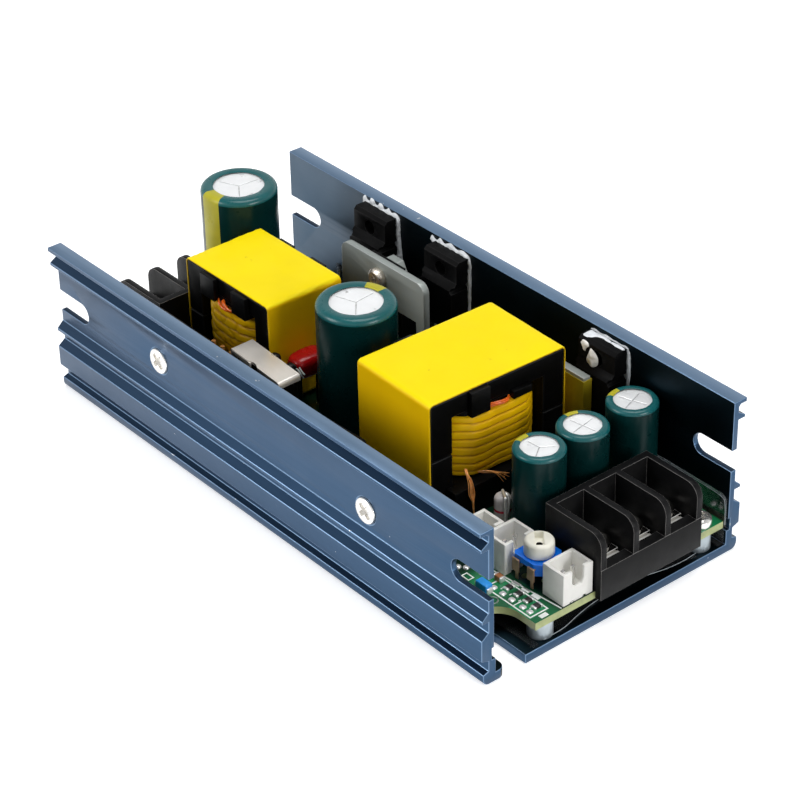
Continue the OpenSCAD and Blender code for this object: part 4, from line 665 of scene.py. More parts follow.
def smear(bm, outline, thickness, seed, spacing=0.35, rough=0.16, fall=0.45):
    # Lump of paste in the XY plane: a wandering outline, thin at the rim and uneven inside
    path = smoothPath(list(outline) + [outline[0]], 6)[:-1]
    rim = []
    for i, spot in enumerate(path):
        push = noiseAt(spot, 0.9, seed) * rough * 2
        away = (path[(i + 1) % len(path)] - path[i - 1]).normalized()
        rim.append(Vector((spot.x + away.y * push, spot.y - away.x * push)))
    lowX, highX = min(p.x for p in rim), max(p.x for p in rim)
    lowY, highY = min(p.y for p in rim), max(p.y for p in rim)
    dots = list(rim)
    x = lowX + spacing / 2
    while x < highX:
        y = lowY + spacing / 2
        while y < highY:
            spot = Vector((x + noiseAt((x, y, 1), 3, seed) * 0.1, y + noiseAt((x, y, 5), 3, seed) * 0.1))
            inside = False
            for i in range(len(rim)):
                a, b = rim[i - 1], rim[i]
                if (a.y > spot.y) != (b.y > spot.y):
                    if spot.x < (b.x - a.x) * (spot.y - a.y) / (b.y - a.y) + a.x:
                        inside = not inside
            if inside and min((spot - p).length for p in rim) > spacing * 0.45:
                dots.append(spot)
            y += spacing
        x += spacing
    edges = [(i, (i + 1) % len(rim)) for i in range(len(rim))]
    flat, _, faces = geometry.delaunay_2d_cdt(dots, edges, [], 1, 1e-5)[:3]
    upper, lower = [], []
    for spot in flat:
        reach = min((spot - p).length for p in rim)
        share = min(1.0, reach / fall)
        up = thickness * math.sqrt(share) * (0.8 + 0.5 * noiseAt((spot.x, spot.y, 9), 1.1, seed))
        upper.append(bm.verts.new((spot.x, spot.y, max(up, 0.0))))
        lower.append(upper[-1] if reach < 1e-4 else bm.verts.new((spot.x, spot.y, -0.02)))
    for face in faces:
        bm.faces.new([upper[i] for i in face])
        under = [lower[i] for i in reversed(face)]
        if any(a is not b for a, b in zip(under, reversed([upper[i] for i in face]))):
            bm.faces.new(under)


print("helpers ready")


# Chassis: the extrusion with its edges a little rounded, lighter along them as wear and painted highlight

chassisInside = {"wall": 30.4, "base": 4.0}


def makeChassis():
    # The edges keep their own slot; the lips get the lighter blue of painted light, other upward ledges the darker blue
    # of painted shade, and the faces that look into the channel the painted shade of the inside
    piece = roundedCopy("chassis", 0.13,
                        ["anodised", "anodisedLitTop", "anodisedInsideShade", "anodisedGrooveShade", "anodisedEdgeHighlightWear"])
    for face in piece.data.polygons:
        if face.material_index:
            continue
        spot, way = face.center / mm, face.normal
        within = abs(spot.y) < chassisInside["wall"]
        if within and (way.y * spot.y < -8.0 or way.z > 0.5 and spot.z < chassisInside["base"]):
            face.material_index = 2
        elif way.z > 0.5:
            face.material_index = 1 if spot.z > 32.0 else 3


makeChassis()

# Film under the board: clear, with pale tubes along its cut edges as a painted highlight

filmLines = {
    "radius": 0.07,
    "flapTop": [(30.0, 29.78, 12.75), (50.0, 29.8, 12.6), (60.8, 29.8, 12.5), (64.6, 29.8, 12.4),
                (66.2, 29.8, 11.9), (66.6, 29.8, 10.6), (66.75, 29.8, 8.4), (66.8, 29.8, 6.2)],
    "bow": [(66.6, -17.0, 2.35), (66.4, -11.9, 2.35), (65.5, -7.6, 2.5), (64.8, -2.9, 2.7), (64.5, 2.8, 2.7),
            (64.9, 9.3, 2.6), (65.9, 15.2, 2.4), (66.2, 19.3, 2.35), (66.0, 23.0, 2.35)],
}

dressed = []


def dressFilm():
    mesh = nodes["insulating_sheet"].data
    mesh.materials.clear()
    mesh.materials.append(materials["film"])
    bm = bmesh.new()
    for name in ("flapTop", "bow"):
        tube(bm, filmLines[name], filmLines["radius"], 8)
    finishPiece("film_edges", bm, ["filmEdgeHighlight"], like="insulating_sheet", smooth=60.0)
    dressed.append("insulating_sheet")


dressFilm()
print("chassis and film dressed")


# Wound parts: place and turn of each, taken from its core

wound = {
    "main": {"core": "main_core", "turn": -1.7, "length": 33.1, "depth": 22.0, "height": 25.3, "plate": 4.4,
             "window": 27.5, "post": 13.4, "windingWidth": 24.4, "square": 3.8, "bands": 8, "fold": 0.25,
             "crinkle": 0.02, "seed": 3.0},
    "inductor": {"core": "inductor_core", "turn": -90.0, "length": 26.8, "depth": 18.8, "height": 23.3,
                 "plate": 4.0, "window": 22.5, "post": 12.0, "windingWidth": 20.0, "square": 3.0, "bands": 6,
                 "fold": 1.0, "crinkle": 0.16, "seed": 11.0},
}


def woundPlace(part):
    low, high = edgesOf(part["core"])
    middle = (low + high) / 2
    return Matrix.Translation((middle.x, middle.y, low.z)) @ Matrix.Rotation(math.radians(part["turn"]), 4, "Z")


def roundLoop(half, low, high, radius, spacing):
    # Points round a rectangle with rounded corners, each with its outward direction and nearness to a corner
    loop = []
    corners = ((half - radius, high - radius, 0.0), (-half + radius, high - radius, 90.0),
               (-half + radius, low + radius, 180.0), (half - radius, low + radius, 270.0))
    for index, (cy, cz, start) in enumerate(corners):
        for k in range(9):
            a = math.radians(start + 90.0 * k / 8)
            loop.append((cy + radius * math.cos(a), cz + radius * math.sin(a), math.cos(a), math.sin(a), 1.0))
        ny, nz, nextStart = corners[(index + 1) % 4]
        a = math.radians(start + 90.0)
        begin = Vector((cy + radius * math.cos(a), cz + radius * math.sin(a)))
        end = Vector((ny + radius * math.cos(a), nz + radius * math.sin(a)))
        count = max(2, int((end - begin).length / spacing))
        for k in range(1, count):
            spot = begin.lerp(end, k / count)
            near = max(0.0, 1.0 - min(k, count - k) * spacing / 1.6)
            loop.append((spot.x, spot.y, math.cos(a), math.sin(a), near))
    return loop


def makeTape(name, part):
    # One turn of tape over the top, both closed ends and the bottom, with soft corners and small wrinkles
    thick, gap, radius = 0.4, 0.1, 1.15
    half = part["length"] / 2 + gap + thick
    low, high = -gap - thick, part["height"] + gap + thick
    loop = roundLoop(half, low, high, radius, 0.8)
    depth = part["depth"] / 2
    rows = [-depth, -depth + 0.1, -depth + 0.35]
    count = 26
    rows += [-depth + 0.35 + (2 * depth - 0.7) * k / count for k in range(1, count)]
    rows += [depth - 0.35, depth - 0.1, depth]
    bm = bmesh.new()
    outer, inner = [], []
    for x in rows:
        edge = max(0.0, 1.0 - (depth - abs(x)) / 0.35)
        ring = []
        for y, z, ny, nz, near in loop:
            soft = 0.05 * (noiseAt((x, y, z), 0.16, part["seed"]) - 0.2)
            fine = part["crinkle"] * near * (noiseAt((x, y, z), 1.5, part["seed"]) - 0.4)
            push = min(0.0, soft) + min(0.0, fine) - 0.12 * edge * edge
            push = max(push, -0.13)
            ring.append(bm.verts.new((x, y + ny * push, z + nz * push)))
        outer.append(ring)
    for x in (rows[-1], rows[0]):
        inner.append([bm.verts.new((x, y - ny * 0.36, z - nz * 0.36)) for y, z, ny, nz, near in loop])
    rings = outer + inner
    for a in range(len(rings)):
        b = (a + 1) % len(rings)
        for i in range(len(loop)):
            j = (i + 1) % len(loop)
            face = bm.faces.new((rings[a][i], rings[a][j], rings[b][j], rings[b][i]))
            face.material_index = 0 if a < len(outer) - 1 else 1
    finishPiece(name, bm, ["yellowTape", "tapeEdge"], stands=[name], smooth=50.0,
                place=woundPlace(part)).name = name + "_wrap"


def makeWinding(name, part):
    # Bands of tape that bulge over the wire, with painted shade in the creases between them
    low = part["plate"] + 1.25
    high = part["height"] - part["plate"] - 1.25
    inner = part["post"] / 2 + 1.1
    outer = part["windingWidth"] / 2
    rows = part["bands"] * 12
    profile = [(inner, low)] + [(outer, low + (high - low) * k / rows) for k in range(rows + 1)] + [(inner, high)]
    bm = bmesh.new()
    depthLayer = bm.verts.layers.float.new("crease")
    deep = {}

    def wobble(index, radius, height, angle):
        if radius < outer - 0.01:
            deep[index, angle] = 0.0
            return radius, height
        # Fuller towards the corners, so that it fills the opening
        power = part["square"]
        full = (abs(math.cos(angle)) ** power + abs(math.sin(angle)) ** power) ** (-1 / power)
        radius = min(radius * full, part["window"] / 2 - 0.1)
        share = (height - low) / (high - low)
        around = Vector((math.cos(angle), math.sin(angle), 0.0)) * 9.0
        wander = 0.34 * noiseAt(around + Vector((0, 0, height * 0.35)), 0.22, part["seed"])
        slant = 0.22 * math.sin(angle + 0.8)
        phase = share * part["bands"] + wander + slant
        valley = (1.0 - abs(math.sin(math.pi * phase))) ** 3.2
        folds = part["fold"] * (1.0 - abs(noiseAt(around + Vector((0, 0, height * 1.6)), 0.33, part["seed"] + 5)) * 3.2)
        folds = max(0.0, folds) ** 2 * 0.6
        dent = 0.42 * valley + 0.34 * folds
        belly = 0.5 * (2 * share - 1) ** 4
        ends = 0.5 * max(0.0, 1.0 - min(share, 1.0 - share) * rows / 3.0)
        deep[index, angle] = min(1.0, valley * 0.9 + folds * 0.7)
        return radius - dent - belly - ends + 0.1 * noiseAt(around, 0.5, part["seed"] + 2), height

    steps = 176
    rings = spin(bm, profile, steps, wobble, joined=True)
    for index, ring in enumerate(rings):
        for step, vert in enumerate(ring):
            vert[depthLayer] = deep[index, 2.0 * math.pi * step / steps]
    finishPiece(name + "_bands", bm, ["windingTape"], stands=[name], smooth=70.0, place=woundPlace(part))


def makeWires():
    # Wires that show above the winding between the lugs, and the leads that run down to the rail
    place = woundPlace(wound["main"])
    bm = bmesh.new()
    for k, (rise, out) in enumerate(((19.75, 11.5), (19.95, 11.75), (20.3, 11.95), (20.55, 11.7))):
        tube(bm, [(out - 1.0, -2.7, rise - 0.25), (out + 0.1, -1.0, rise + 0.1), (out + 0.25, 1.2, rise),
                  (out - 0.9, 2.8, rise - 0.3)], 0.2, 8, 8)
    finishPiece("main_top_wires", bm, ["orangeWire"], like="main_leads", smooth=70.0, place=place)
    place = woundPlace(wound["inductor"])
    bm = bmesh.new()
    for rise, out, slide in ((17.95, 9.7, 0.0), (18.2, 9.95, 0.6), (18.5, 10.05, 1.1), (18.1, 10.2, -0.5)):
        tube(bm, [(out - 0.9, -2.6 + slide, rise + 0.35), (out + 0.1, -1.0 + slide, rise + 0.15),
                  (out + 0.3, 0.8 + slide, rise - 0.3), (out - 0.6, 2.3 + slide, rise - 0.7)], 0.26, 8, 8)
    finishPiece("inductor_top_wires", bm, ["orangeWire"], like="inductor_leads", smooth=70.0, place=place)

    # Strands of the main leads: one bundle down to the rail and a short one to the side
    bm = bmesh.new()
    for k in range(8):
        off = 0.22 * math.cos(k * 0.8)
        lean = 0.16 * math.sin(k * 0.8)
        spread = 0.5 * math.sin(k * 2.1)
        tube(bm, [(32.9 + lean, -6.7 + off * 0.5, 18.3), (33.9 + lean, -7.4 + off, 19.0),
                  (34.6 + lean, -7.7 + off, 18.5), (34.85 + lean, -7.1 + off + spread * 0.6, 16.4),
                  (34.8 + lean, -6.7 + off + spread, 13.6), (34.8 + lean, -6.4 + off * 0.5, 11.4),
                  (34.75 + lean * 0.5, -6.1 + off * 0.4, 8.6)], 0.1, 6, 8)
    for k in range(7):
        off = 0.25 * math.sin(k * 1.9)
        tube(bm, [(32.4, -2.8 + off, 15.6 + 0.05 * k), (33.3, -1.8 + off, 15.5 + 0.1 * k),
                  (34.2, 0.2 + off * 1.4, 15.1), (34.3, 2.6 + off * 3, 13.9 - 0.28 * k)], 0.09, 6, 8)
    finishPiece("main_lead_strands", bm, ["copper"], stands=["main_leads"], smooth=70.0)


def makeWoundParts():
    for kind, part in wound.items():
        roundedCopy(kind + "_core", 0.3, ["ferrite", "ferriteEdge"])
        roundedCopy(kind + "_bobbin", 0.22, ["glossBlack", "glossBlack"])
        makeTape(kind + "_tape", part)
        makeWinding(kind + "_winding", part)
    makeWires()
    print("wound parts dressed")


makeWoundParts()


# Capacitors: a crimped can with a creased top inside a shrunk sleeve

capacitors = {
    "bulk_far": {"can": "bulk_can_far", "sleeve": "bulk_sleeve_far", "shoulder": 1.25, "mouth": 5.45,
                 "vents": (205.0, 325.0, 85.0), "ventReach": 5.2, "stripe": (-106.0, -69.0), "seed": 2.0},
    "bulk_mid": {"can": "bulk_can_mid", "sleeve": "bulk_sleeve_mid", "shoulder": 1.25, "mouth": 5.45,
                 "vents": (200.0, 320.0, 95.0), "ventReach": 5.2, "stripe": (88.0, 122.0), "seed": 5.0},
    "small_left": {"can": "small_can_left", "sleeve": "small_sleeve_left", "shoulder": 0.85, "mouth": 3.75,
                   "vents": (185.0, 305.0, 55.0), "ventReach": 3.5, "stripe": (172.0, 208.0), "seed": 8.0},
    "small_middle": {"can": "small_can_middle", "sleeve": "small_sleeve_middle", "shoulder": 0.85, "mouth": 3.75,
                     "vents": (10.0, 100.0, 190.0, 280.0), "ventReach": 3.5, "stripe": (150.0, 186.0), "seed": 12.0},
    "small_right": {"can": "small_can_right", "sleeve": "small_sleeve_right", "shoulder": 0.85, "mouth": 3.75,
                    "vents": (20.0, 110.0, 200.0, 290.0), "ventReach": 3.5, "stripe": (178.0, 214.0), "seed": 17.0},
}


def makeCanTop(name, part):
    low, high = edgesOf(part["can"])
    middle = (low + high) / 2
    radius = (high.x - low.x) / 2
    top = high.z
    lines = [math.radians(a) for a in part["vents"]]
    bm = bmesh.new()
    layer = bm.verts.layers.float.new("crease")

    def heightAt(x, y):
        deep = 0.0
        for a in lines:
            along = x * math.cos(a) + y * math.sin(a)
            across = abs(-x * math.sin(a) + y * math.cos(a)) + 0.05 * noiseAt((x, y, 0), 2.0, part["seed"])
            if 0.0 < along < part["ventReach"]:
                fade = min(1.0, (part["ventReach"] - along) / 0.8)
                deep = max(deep, fade * math.exp(-(across / 0.13) ** 2))
        puff = -0.10 * deep + 0.07 * noiseAt((x, y, 3), 0.45, part["seed"])
        return top - 0.12 + puff, deep

    steps, rows = 144, int(part["mouth"] / 0.11)
    rings = []
    for k in range(1, rows + 1):
        r = (part["mouth"] + 0.35) * k / rows
        ring = []
        for step in range(steps):
            a = 2 * math.pi * step / steps
            x, y = r * math.cos(a), r * math.sin(a)
            z, deep = heightAt(x, y)
            vert = bm.verts.new((x, y, z))
            vert[layer] = deep * 0.8
            ring.append(vert)
        rings.append(ring)
    z, deep = heightAt(0.0, 0.0)
    centre = bm.verts.new((0.0, 0.0, z - 0.04))
    centre[layer] = 0.8
    for i in range(steps):
        bm.faces.new((centre, rings[0][i], rings[0][(i + 1) % steps]))
    for r, z in ((radius - 0.25, top - 0.14), (radius - 0.02, top - 0.5), (radius - 0.02, low.z + 0.4),
                 (radius - 0.4, low.z)):
        rings.append([bm.verts.new((r * math.cos(2 * math.pi * s / steps), r * math.sin(2 * math.pi * s / steps), z))
                      for s in range(steps)])
    bridge(bm, rings, ends=False)
    bm.faces.new(rings[-1])
    finishPiece(name + "_can", bm, ["canTop"], stands=[part["can"]], smooth=70.0,
                place=Matrix.Translation((middle.x, middle.y, 0.0)))


def makeSleeve(name, part):
    low, high = edgesOf(part["sleeve"])
    middle = (low + high) / 2
    radius = (high.x - low.x) / 2
    turn, mouth, top = part["shoulder"], part["mouth"], high.z
    outer = [(radius - 0.55, low.z), (radius - 0.12, low.z + 0.15), (radius, low.z + 0.6)]
    outer += [(radius, low.z + (top - turn - low.z) * k / 8) for k in range(1, 8)]
    bend = len(outer)
    outer += [(radius - turn + turn * math.cos(math.radians(a)), top - turn + turn * math.sin(math.radians(a)))
              for a in (0, 18, 36, 54, 72, 90)]
    rim = len(outer)
    outer += [(mouth + 0.25, top - 0.02), (mouth, top - 0.1), (mouth + 0.02, top - 0.2)]
    inner = [(radius - turn, top - 0.24), (radius - 0.24, top - turn), (radius - 0.24, low.z + 0.6)]
    profile = outer + inner
    start, end = [math.radians(a) for a in part["stripe"]]

    # Shoulder rows take the lit teal and the sides the shaded teal, painted light and shade; the stripe covers both
    def tintOf(row, angle):
        if bend <= row < len(outer) - 1:
            return 2 if (angle - start) % (2 * math.pi) < (end - start) else 1
        return 2 if (angle - start) % (2 * math.pi) < (end - start) and row < bend else 0

    def wobble(index, r, z, angle):
        wave = noiseAt((math.cos(angle) * 3, math.sin(angle) * 3, z * 0.2), 0.8, part["seed"])
        if rim <= index < len(outer):
            return r + 0.14 * wave, z
        if 2 < index < bend:
            return r - 0.03 - 0.03 * wave, z
        return r, z

    bm = bmesh.new()
    spin(bm, profile, 120, wobble, joined=True, tintOf=tintOf)
    finishPiece(name + "_sleeve", bm, ["sleeve", "sleeveRimLit", "stripe"], stands=[part["sleeve"]], smooth=55.0,
                place=Matrix.Translation((middle.x, middle.y, 0.0)))


def makeCapacitors():
    for name, part in capacitors.items():
        makeCanTop(name, part)
        makeSleeve(name, part)
    print("capacitors dressed")


makeCapacitors()


# Power devices on both walls, with the paste that was squeezed out behind them

deviceDetails = {
    "devices": ("near_wall_devices", "power_transistor_a", "power_transistor_b", "output_rectifier",
                "plate_rectifier"),
    "edge": 0.16,
    "wall": 30.0,
    "pasteDepth": 0.5,
}

pasteShapes = {
    "aboveA": [(-42.2, 32.0), (-41.9, 33.6), (-41.2, 34.2), (-40.4, 33.4), (-39.9, 33.3), (-39.2, 34.28),
               (-38.3, 34.1), (-37.7, 33.2), (-37.1, 33.4), (-36.4, 34.28), (-35.5, 34.1), (-35.0, 33.3), (-34.2, 33.6),
               (-33.4, 34.2), (-32.6, 33.5), (-31.2, 33.9), (-30.0, 33.2), (-29.8, 31.2), (-31.2, 31.7),
               (-36.0, 32.0), (-40.6, 31.8)],
    "besideA": [(-31.2, 33.2), (-30.1, 32.8), (-29.7, 30.0), (-29.6, 27.0), (-29.2, 24.0), (-29.4, 21.6),
                (-30.6, 21.2), (-31.0, 23.4), (-31.0, 26.0), (-31.2, 29.0), (-31.3, 32.0)],
    "aboveB": [(-20.2, 32.4), (-19.4, 33.6), (-18.0, 33.1), (-16.8, 34.0), (-15.4, 33.3), (-13.4, 34.2),
               (-11.6, 33.5), (-9.6, 34.0), (-7.6, 33.2), (-7.1, 31.0), (-7.6, 30.0), (-8.3, 31.6),
               (-10.0, 32.5), (-14.0, 32.3), (-18.0, 32.0)],
    "besideB": [(-8.2, 31.4), (-7.3, 31.2), (-7.1, 27.0), (-7.3, 22.0), (-7.1, 17.6), (-7.8, 17.2), (-8.3, 21.0),
                (-8.2, 27.0)],
    "besideC": [(38.4, 32.6), (39.5, 32.2), (39.8, 28.4), (39.6, 25.2), (39.0, 24.6), (38.7, 27.0), (38.6, 30.0)],
}
pasteSheets = {"a": (-41.5, -30.2), "b": (-18.6, -7.4), "c": (28.3, 39.3)}


def makeDevices():
    for node in deviceDetails["devices"]:
        roundedCopy(node, deviceDetails["edge"], ["black", "blackWorn"])
    # Paste on the wall: drawn in X and Z, standing out towards -Y
    onWall = Matrix.Translation((0.0, deviceDetails["wall"], 0.0)) @ Matrix.Rotation(math.radians(90), 4, "X")
    bm = bmesh.new()
    for index, outline in enumerate(pasteShapes.values()):
        smear(bm, outline, deviceDetails["pasteDepth"], 3.0 + index * 4, rough=0.06)
    # The thin layer behind each device, its rim wandering
    for index, (left, right) in enumerate(pasteSheets.values()):
        smear(bm, [(left, 18.0), (left + 0.2, 25.0), (left, 32.4), (left + 3.0, 33.2), (right - 3.0, 33.1),
                   (right, 32.6), (right - 0.2, 25.0), (right, 18.2), (right - 3.0, 17.2), (left + 3.0, 17.0)],
              0.24, 21.0 + index * 3, spacing=0.8, rough=0.14, fall=0.5)
    finishPiece("paste_squeezed", bm, ["paste"], stands=["thermal_paste"], smooth=80.0, place=onWall)
    # A white streak on top of the output rectifier, a drop in its hole, and a white patch in the next hole as a painted
    # glint
    top = edgesOf("output_rectifier")[1].z
    front = edgesOf("output_rectifier")[0].y
    bm = bmesh.new()
    smear(bm, [(28.9, 29.4), (31.0, 29.6), (34.0, 29.5), (37.0, 29.6), (38.6, 29.5), (38.7, 28.8), (35.5, 28.7),
               (33.0, 28.9), (31.6, 28.2), (30.4, 27.0), (29.3, 27.2), (29.0, 28.4)], 0.3, 31.0)
    finishPiece("paste_streak", bm, ["paste"], like="thermal_paste", smooth=80.0,
                place=Matrix.Translation((0, 0, top - 0.02)))
    bm = bmesh.new()
    face = Matrix.Translation((0.0, front + 1.42, 0.0)) @ Matrix.Rotation(math.radians(90), 4, "X")
    smear(bm, [(32.1, 31.5), (33.1, 31.1), (34.1, 30.2), (34.3, 28.9), (33.7, 27.7), (32.6, 27.2), (31.5, 27.6),
               (31.1, 28.7), (31.6, 30.2)], 0.8, 41.0, spacing=0.25, rough=0.03, fall=1.2)
    # Painted glint: a small white patch
    smear(bm, [(29.3, 31.6), (29.9, 32.4), (31.4, 32.4), (31.6, 31.6), (30.9, 30.9), (30.6, 30.0), (29.9, 30.4),
               (29.7, 31.0)], 0.4, 43.0, spacing=0.25, rough=0.08)
    finishPiece("paste_drop_and_glint", bm, ["white"], like="thermal_paste", smooth=80.0, place=face)


makeDevices()
print("devices dressed")


# Moulded and turned parts with rounded edges: edge width, face finish, edge finish

edgeLooks = {
    "output_block": (0.22, "charcoal", "dusty"), "input_block": (0.22, "charcoal", "dusty"),
    "terminal_washers": (0.14, "headSteel", "contact"), "trimmer_body": (0.14, "blue", "blue"),
    "socket_near": (0.16, "white", "white"), "socket_middle": (0.16, "white", "white"),
    "socket_far": (0.16, "white", "white"), "standoffs": (0.16, "zinc", "zinc"),
    "board_screws": (0.2, "steel", "steel"), "wall_screws": (0.09, "steel", "steel"),
    "hex_nuts": (0.14, "plateGrey", "plateEdge"), "side_plate": (0.15, "plateGrey", "plateEdge"),
    "side_plate_tape": (0.12, "olive", "olive"), "heat_plate": (0.22, "plateGrey", "plateEdge"),
    "plate_screw": (0.12, "brass", "brass"),
}
for name, (edge, face, rim) in edgeLooks.items():
    roundedCopy(name, edge, [face, rim])
roundedCopy("terminal_screws", 0.2, ["headSteel", "headSteel"], segments=3)

trimmerLegs = {"x": (54.35, 58.5), "width": 1.85, "y": -12.93, "top": 12.1, "low": 9.3}


def makeTrimmerLegs():
    # Flat legs folded over the top of the body, then down to the board with a narrower foot
    bm = bmesh.new()
    half, y, top = trimmerLegs["width"] / 2, trimmerLegs["y"], trimmerLegs["top"]
    floor = edgesOf("circuit_board")[1].z
    for x in trimmerLegs["x"]:
        block(bm, (x - half, y - 0.22, trimmerLegs["low"]), (x + half, y + 0.12, top), 0.07)
        block(bm, (x - half * 0.4, y + 0.1, floor), (x + half * 0.4, y + 0.4, top - 0.6), 0.05)
        block(bm, (x - half * 0.8, y - 0.2, top - 0.3), (x + half * 0.8, y + 0.9, top + 0.02), 0.06)
    finishPiece("trimmer_legs_flat", bm, ["brown"], stands=["trimmer_legs"], smooth=40.0)


makeTrimmerLegs()

rotorLook = {
    "slotTurn": 141.0,
    "slotWidth": 1.7,
    "slotLength": 2.1,
    "slotDepth": 1.35,
    "holeRadius": 0.62,
    "holeDepth": 2.1,
    "crown": 0.7,
}


def makeRotor():
    low, high = edgesOf("trimmer_rotor")
    body = edgesOf("trimmer_body")[1].z
    x, y = (low.x + high.x) / 2, (low.y + high.y) / 2
    radius = (high.x - low.x) / 2
    top, base = high.z, body + 0.1
    crown = rotorLook["crown"]
    profile = [(radius - 0.15, base), (radius, base + 0.12), (radius - 0.05, top - crown)]
    profile += [(radius - 0.05 - crown * (1 - math.cos(math.radians(a))),
                 top - crown + crown * math.sin(math.radians(a)))
                for a in (15, 30, 45, 60, 75, 90)]
    profile += [(radius * 0.45, top), (0.3, top)]
    bm = bmesh.new()
    spin(bm, profile, 72)
    bmesh.ops.recalc_face_normals(bm, faces=bm.faces)
    mesh = bpy.data.meshes.new("rotor_dome")
    bm.to_mesh(mesh)
    bm.free()
    mesh.materials.append(materials["cream"])
    mesh.materials.append(materials["recessPaintedShade"])
    piece = bpy.data.objects.new("rotor_dome", mesh)
    scene.collection.objects.link(piece)
    cutters = []
    for kind in ("slot", "hole"):
        bm = bmesh.new()
        if kind == "slot":
            wide, long = rotorLook["slotWidth"] / 2, rotorLook["slotLength"]
            block(bm, (-long, -wide, top - rotorLook["slotDepth"]), (long, wide, top + 1.0))
            bm.transform(Matrix.Rotation(math.radians(rotorLook["slotTurn"]), 4, "Z"))
        else:
            spin(bm, [(rotorLook["holeRadius"], top - rotorLook["holeDepth"]), (rotorLook["holeRadius"], top + 1.0)],
                 32)
            # The hole's walls take the near-black recess finish: painted shade
            for face in bm.faces:
                face.material_index = 1
        bmesh.ops.recalc_face_normals(bm, faces=bm.faces)
        shape = bpy.data.meshes.new(kind + "Cutter")
        bm.to_mesh(shape)
        bm.free()
        for mat in ("cream", "recessPaintedShade"):
            shape.materials.append(materials[mat])
        cutter = bpy.data.objects.new(kind + "Cutter", shape)
        scene.collection.objects.link(cutter)
        cutters.append(cutter)
        cut = piece.modifiers.new(kind, "BOOLEAN")
        cut.operation = "DIFFERENCE"
        cut.solver = "EXACT"
        cut.object = cutter
    soft = piece.modifiers.new("soft", "BEVEL")
    soft.width = 0.12
    soft.segments = 2
    soft.limit_method = "ANGLE"
    soft.angle_limit = math.radians(40)
    bpy.context.view_layer.update()
    applied(piece)
    for cutter in cutters:
        shape = cutter.data
        bpy.data.objects.remove(cutter)
        bpy.data.meshes.remove(shape)
    piece.data.transform(Matrix.Scale(mm, 4) @ Matrix.Translation((x, y, 0.0)))
    piece.data.polygons.foreach_set("use_smooth", [True] * len(piece.data.polygons))
    piece.data.set_sharp_from_angle(angle=math.radians(40))
    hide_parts("trimmer_rotor")
    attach(piece, "rotor")


makeRotor()
print("terminals, sockets and trimmer dressed")


# Clip over the rectifier: a folded strip that falls towards the output end

clipShape = {
    "from": (-24.0, 24.45),
    "to": (-8.1, 23.35),
    "width": 5.2,
    "thick": 0.75,
    "foldFar": 0.8,
    "foldNear": 0.5,
    "legNear": 18.8,
    "legFar": 22.1,
    "notch": (-17.4, -15.9, 0.55),
}


def makeClip():
    low, high = edgesOf("clamp_clip")
    yLow, yHigh = low.y - 0.3, high.y - 0.15
    x0, z0 = clipShape["from"]
    x1, z1 = clipShape["to"]
    thick = clipShape["thick"]

    def sideLine(inset):
        # The strip seen from the side, from the foot at the input end over the top to the foot at the other
        line = [(x0 + inset, clipShape["legNear"])]
        r = max(clipShape["foldNear"] - inset, 0.05)
        cx, cz = x0 + clipShape["foldNear"], z0 - clipShape["foldNear"]
        line += [(cx - r * math.cos(math.radians(a)), cz + r * math.sin(math.radians(a))) for a in range(0, 91, 15)]
        count = 14
        big = clipShape["foldFar"]
        bx, bz = x1 - big, z1 - big + 0.12
        r = big - inset
        arc = [(bx + r * math.sin(math.radians(a)), bz + r * math.cos(math.radians(a))) for a in range(-3, 91, 9)]
        start = line[-1]
        for k in range(1, count):
            t = k / count
            line.append((start[0] + (arc[0][0] - start[0]) * t, start[1] + (arc[0][1] - start[1]) * t))
        line += arc
        line.append((x1 - inset, clipShape["legFar"]))
        return line

    upper, lower = sideLine(0.0), sideLine(thick)
    bm = bmesh.new()
    notchLow, notchHigh, notchDeep = clipShape["notch"]
    rows = 5
    grid = []
    for line in (upper, lower):
        sheet = []
        for x, z in line:
            edge = yLow + (notchDeep if notchLow < x < notchHigh and z > 22.0 else 0.0)
            sheet.append([bm.verts.new((x, edge + (yHigh - edge) * k / rows, z)) for k in range(rows + 1)])
        grid.append(sheet)
    count = len(upper)
    for i in range(count - 1):
        for k in range(rows):
            bm.faces.new((grid[0][i][k], grid[0][i + 1][k], grid[0][i + 1][k + 1], grid[0][i][k + 1]))
            bm.faces.new((grid[1][i][k], grid[1][i][k + 1], grid[1][i + 1][k + 1], grid[1][i + 1][k]))
        for k in (0, rows):
            bm.faces.new((grid[0][i][k], grid[1][i][k], grid[1][i + 1][k], grid[0][i + 1][k]))
    for i in (0, count - 1):
        for k in range(rows):
            bm.faces.new((grid[0][i][k], grid[0][i][k + 1], grid[1][i][k + 1], grid[1][i][k]))
    # A lip bent down along the edge at -Y, up to the notch
    slope = (z1 - z0) / (x1 - x0)
    made = []
    for x, drop in ((-23.4, 0.5), (notchLow - 0.1, 1.15)):
        z = z0 + slope * (x - x0)
        made.append([bm.verts.new(p) for p in ((x, yLow - 0.08, z - 0.12), (x, yLow + 0.3, z - 0.1),
                                               (x, yLow + 0.3, z - drop), (x, yLow - 0.14, z - drop))])
    bridge(bm, made)
    finishPiece("folded_clip", bm, ["nickel"], stands=["clamp_clip"], smooth=40.0)
    # The moulded part under it, its top following the strip
    low, high = edgesOf("bridge_rectifier")
    bm = bmesh.new()
    under = z0 - thick - 0.1
    prism(bm, [(low.x, low.z), (-9.4, low.z), (-9.4, 21.6), (-10.0, under + slope * 14.0), (low.x + 0.5, under),
               (low.x, under - 0.4)], -high.y, -low.y, 0.25)
    finishPiece("bridge_moulding", bm, ["black"], stands=["bridge_rectifier"], smooth=40.0,
                place=Matrix.Rotation(math.radians(90), 4, "X"))


makeClip()


# Small parts near the clip and along the wall

dippedPart = {
    "under": 15.8,
    "cushion": {"up": (0.55, 0.7), "round": 0.7},
    "fullness": 0.97,
    "poleRadius": 0.35,
    "lead": 0.6,
}


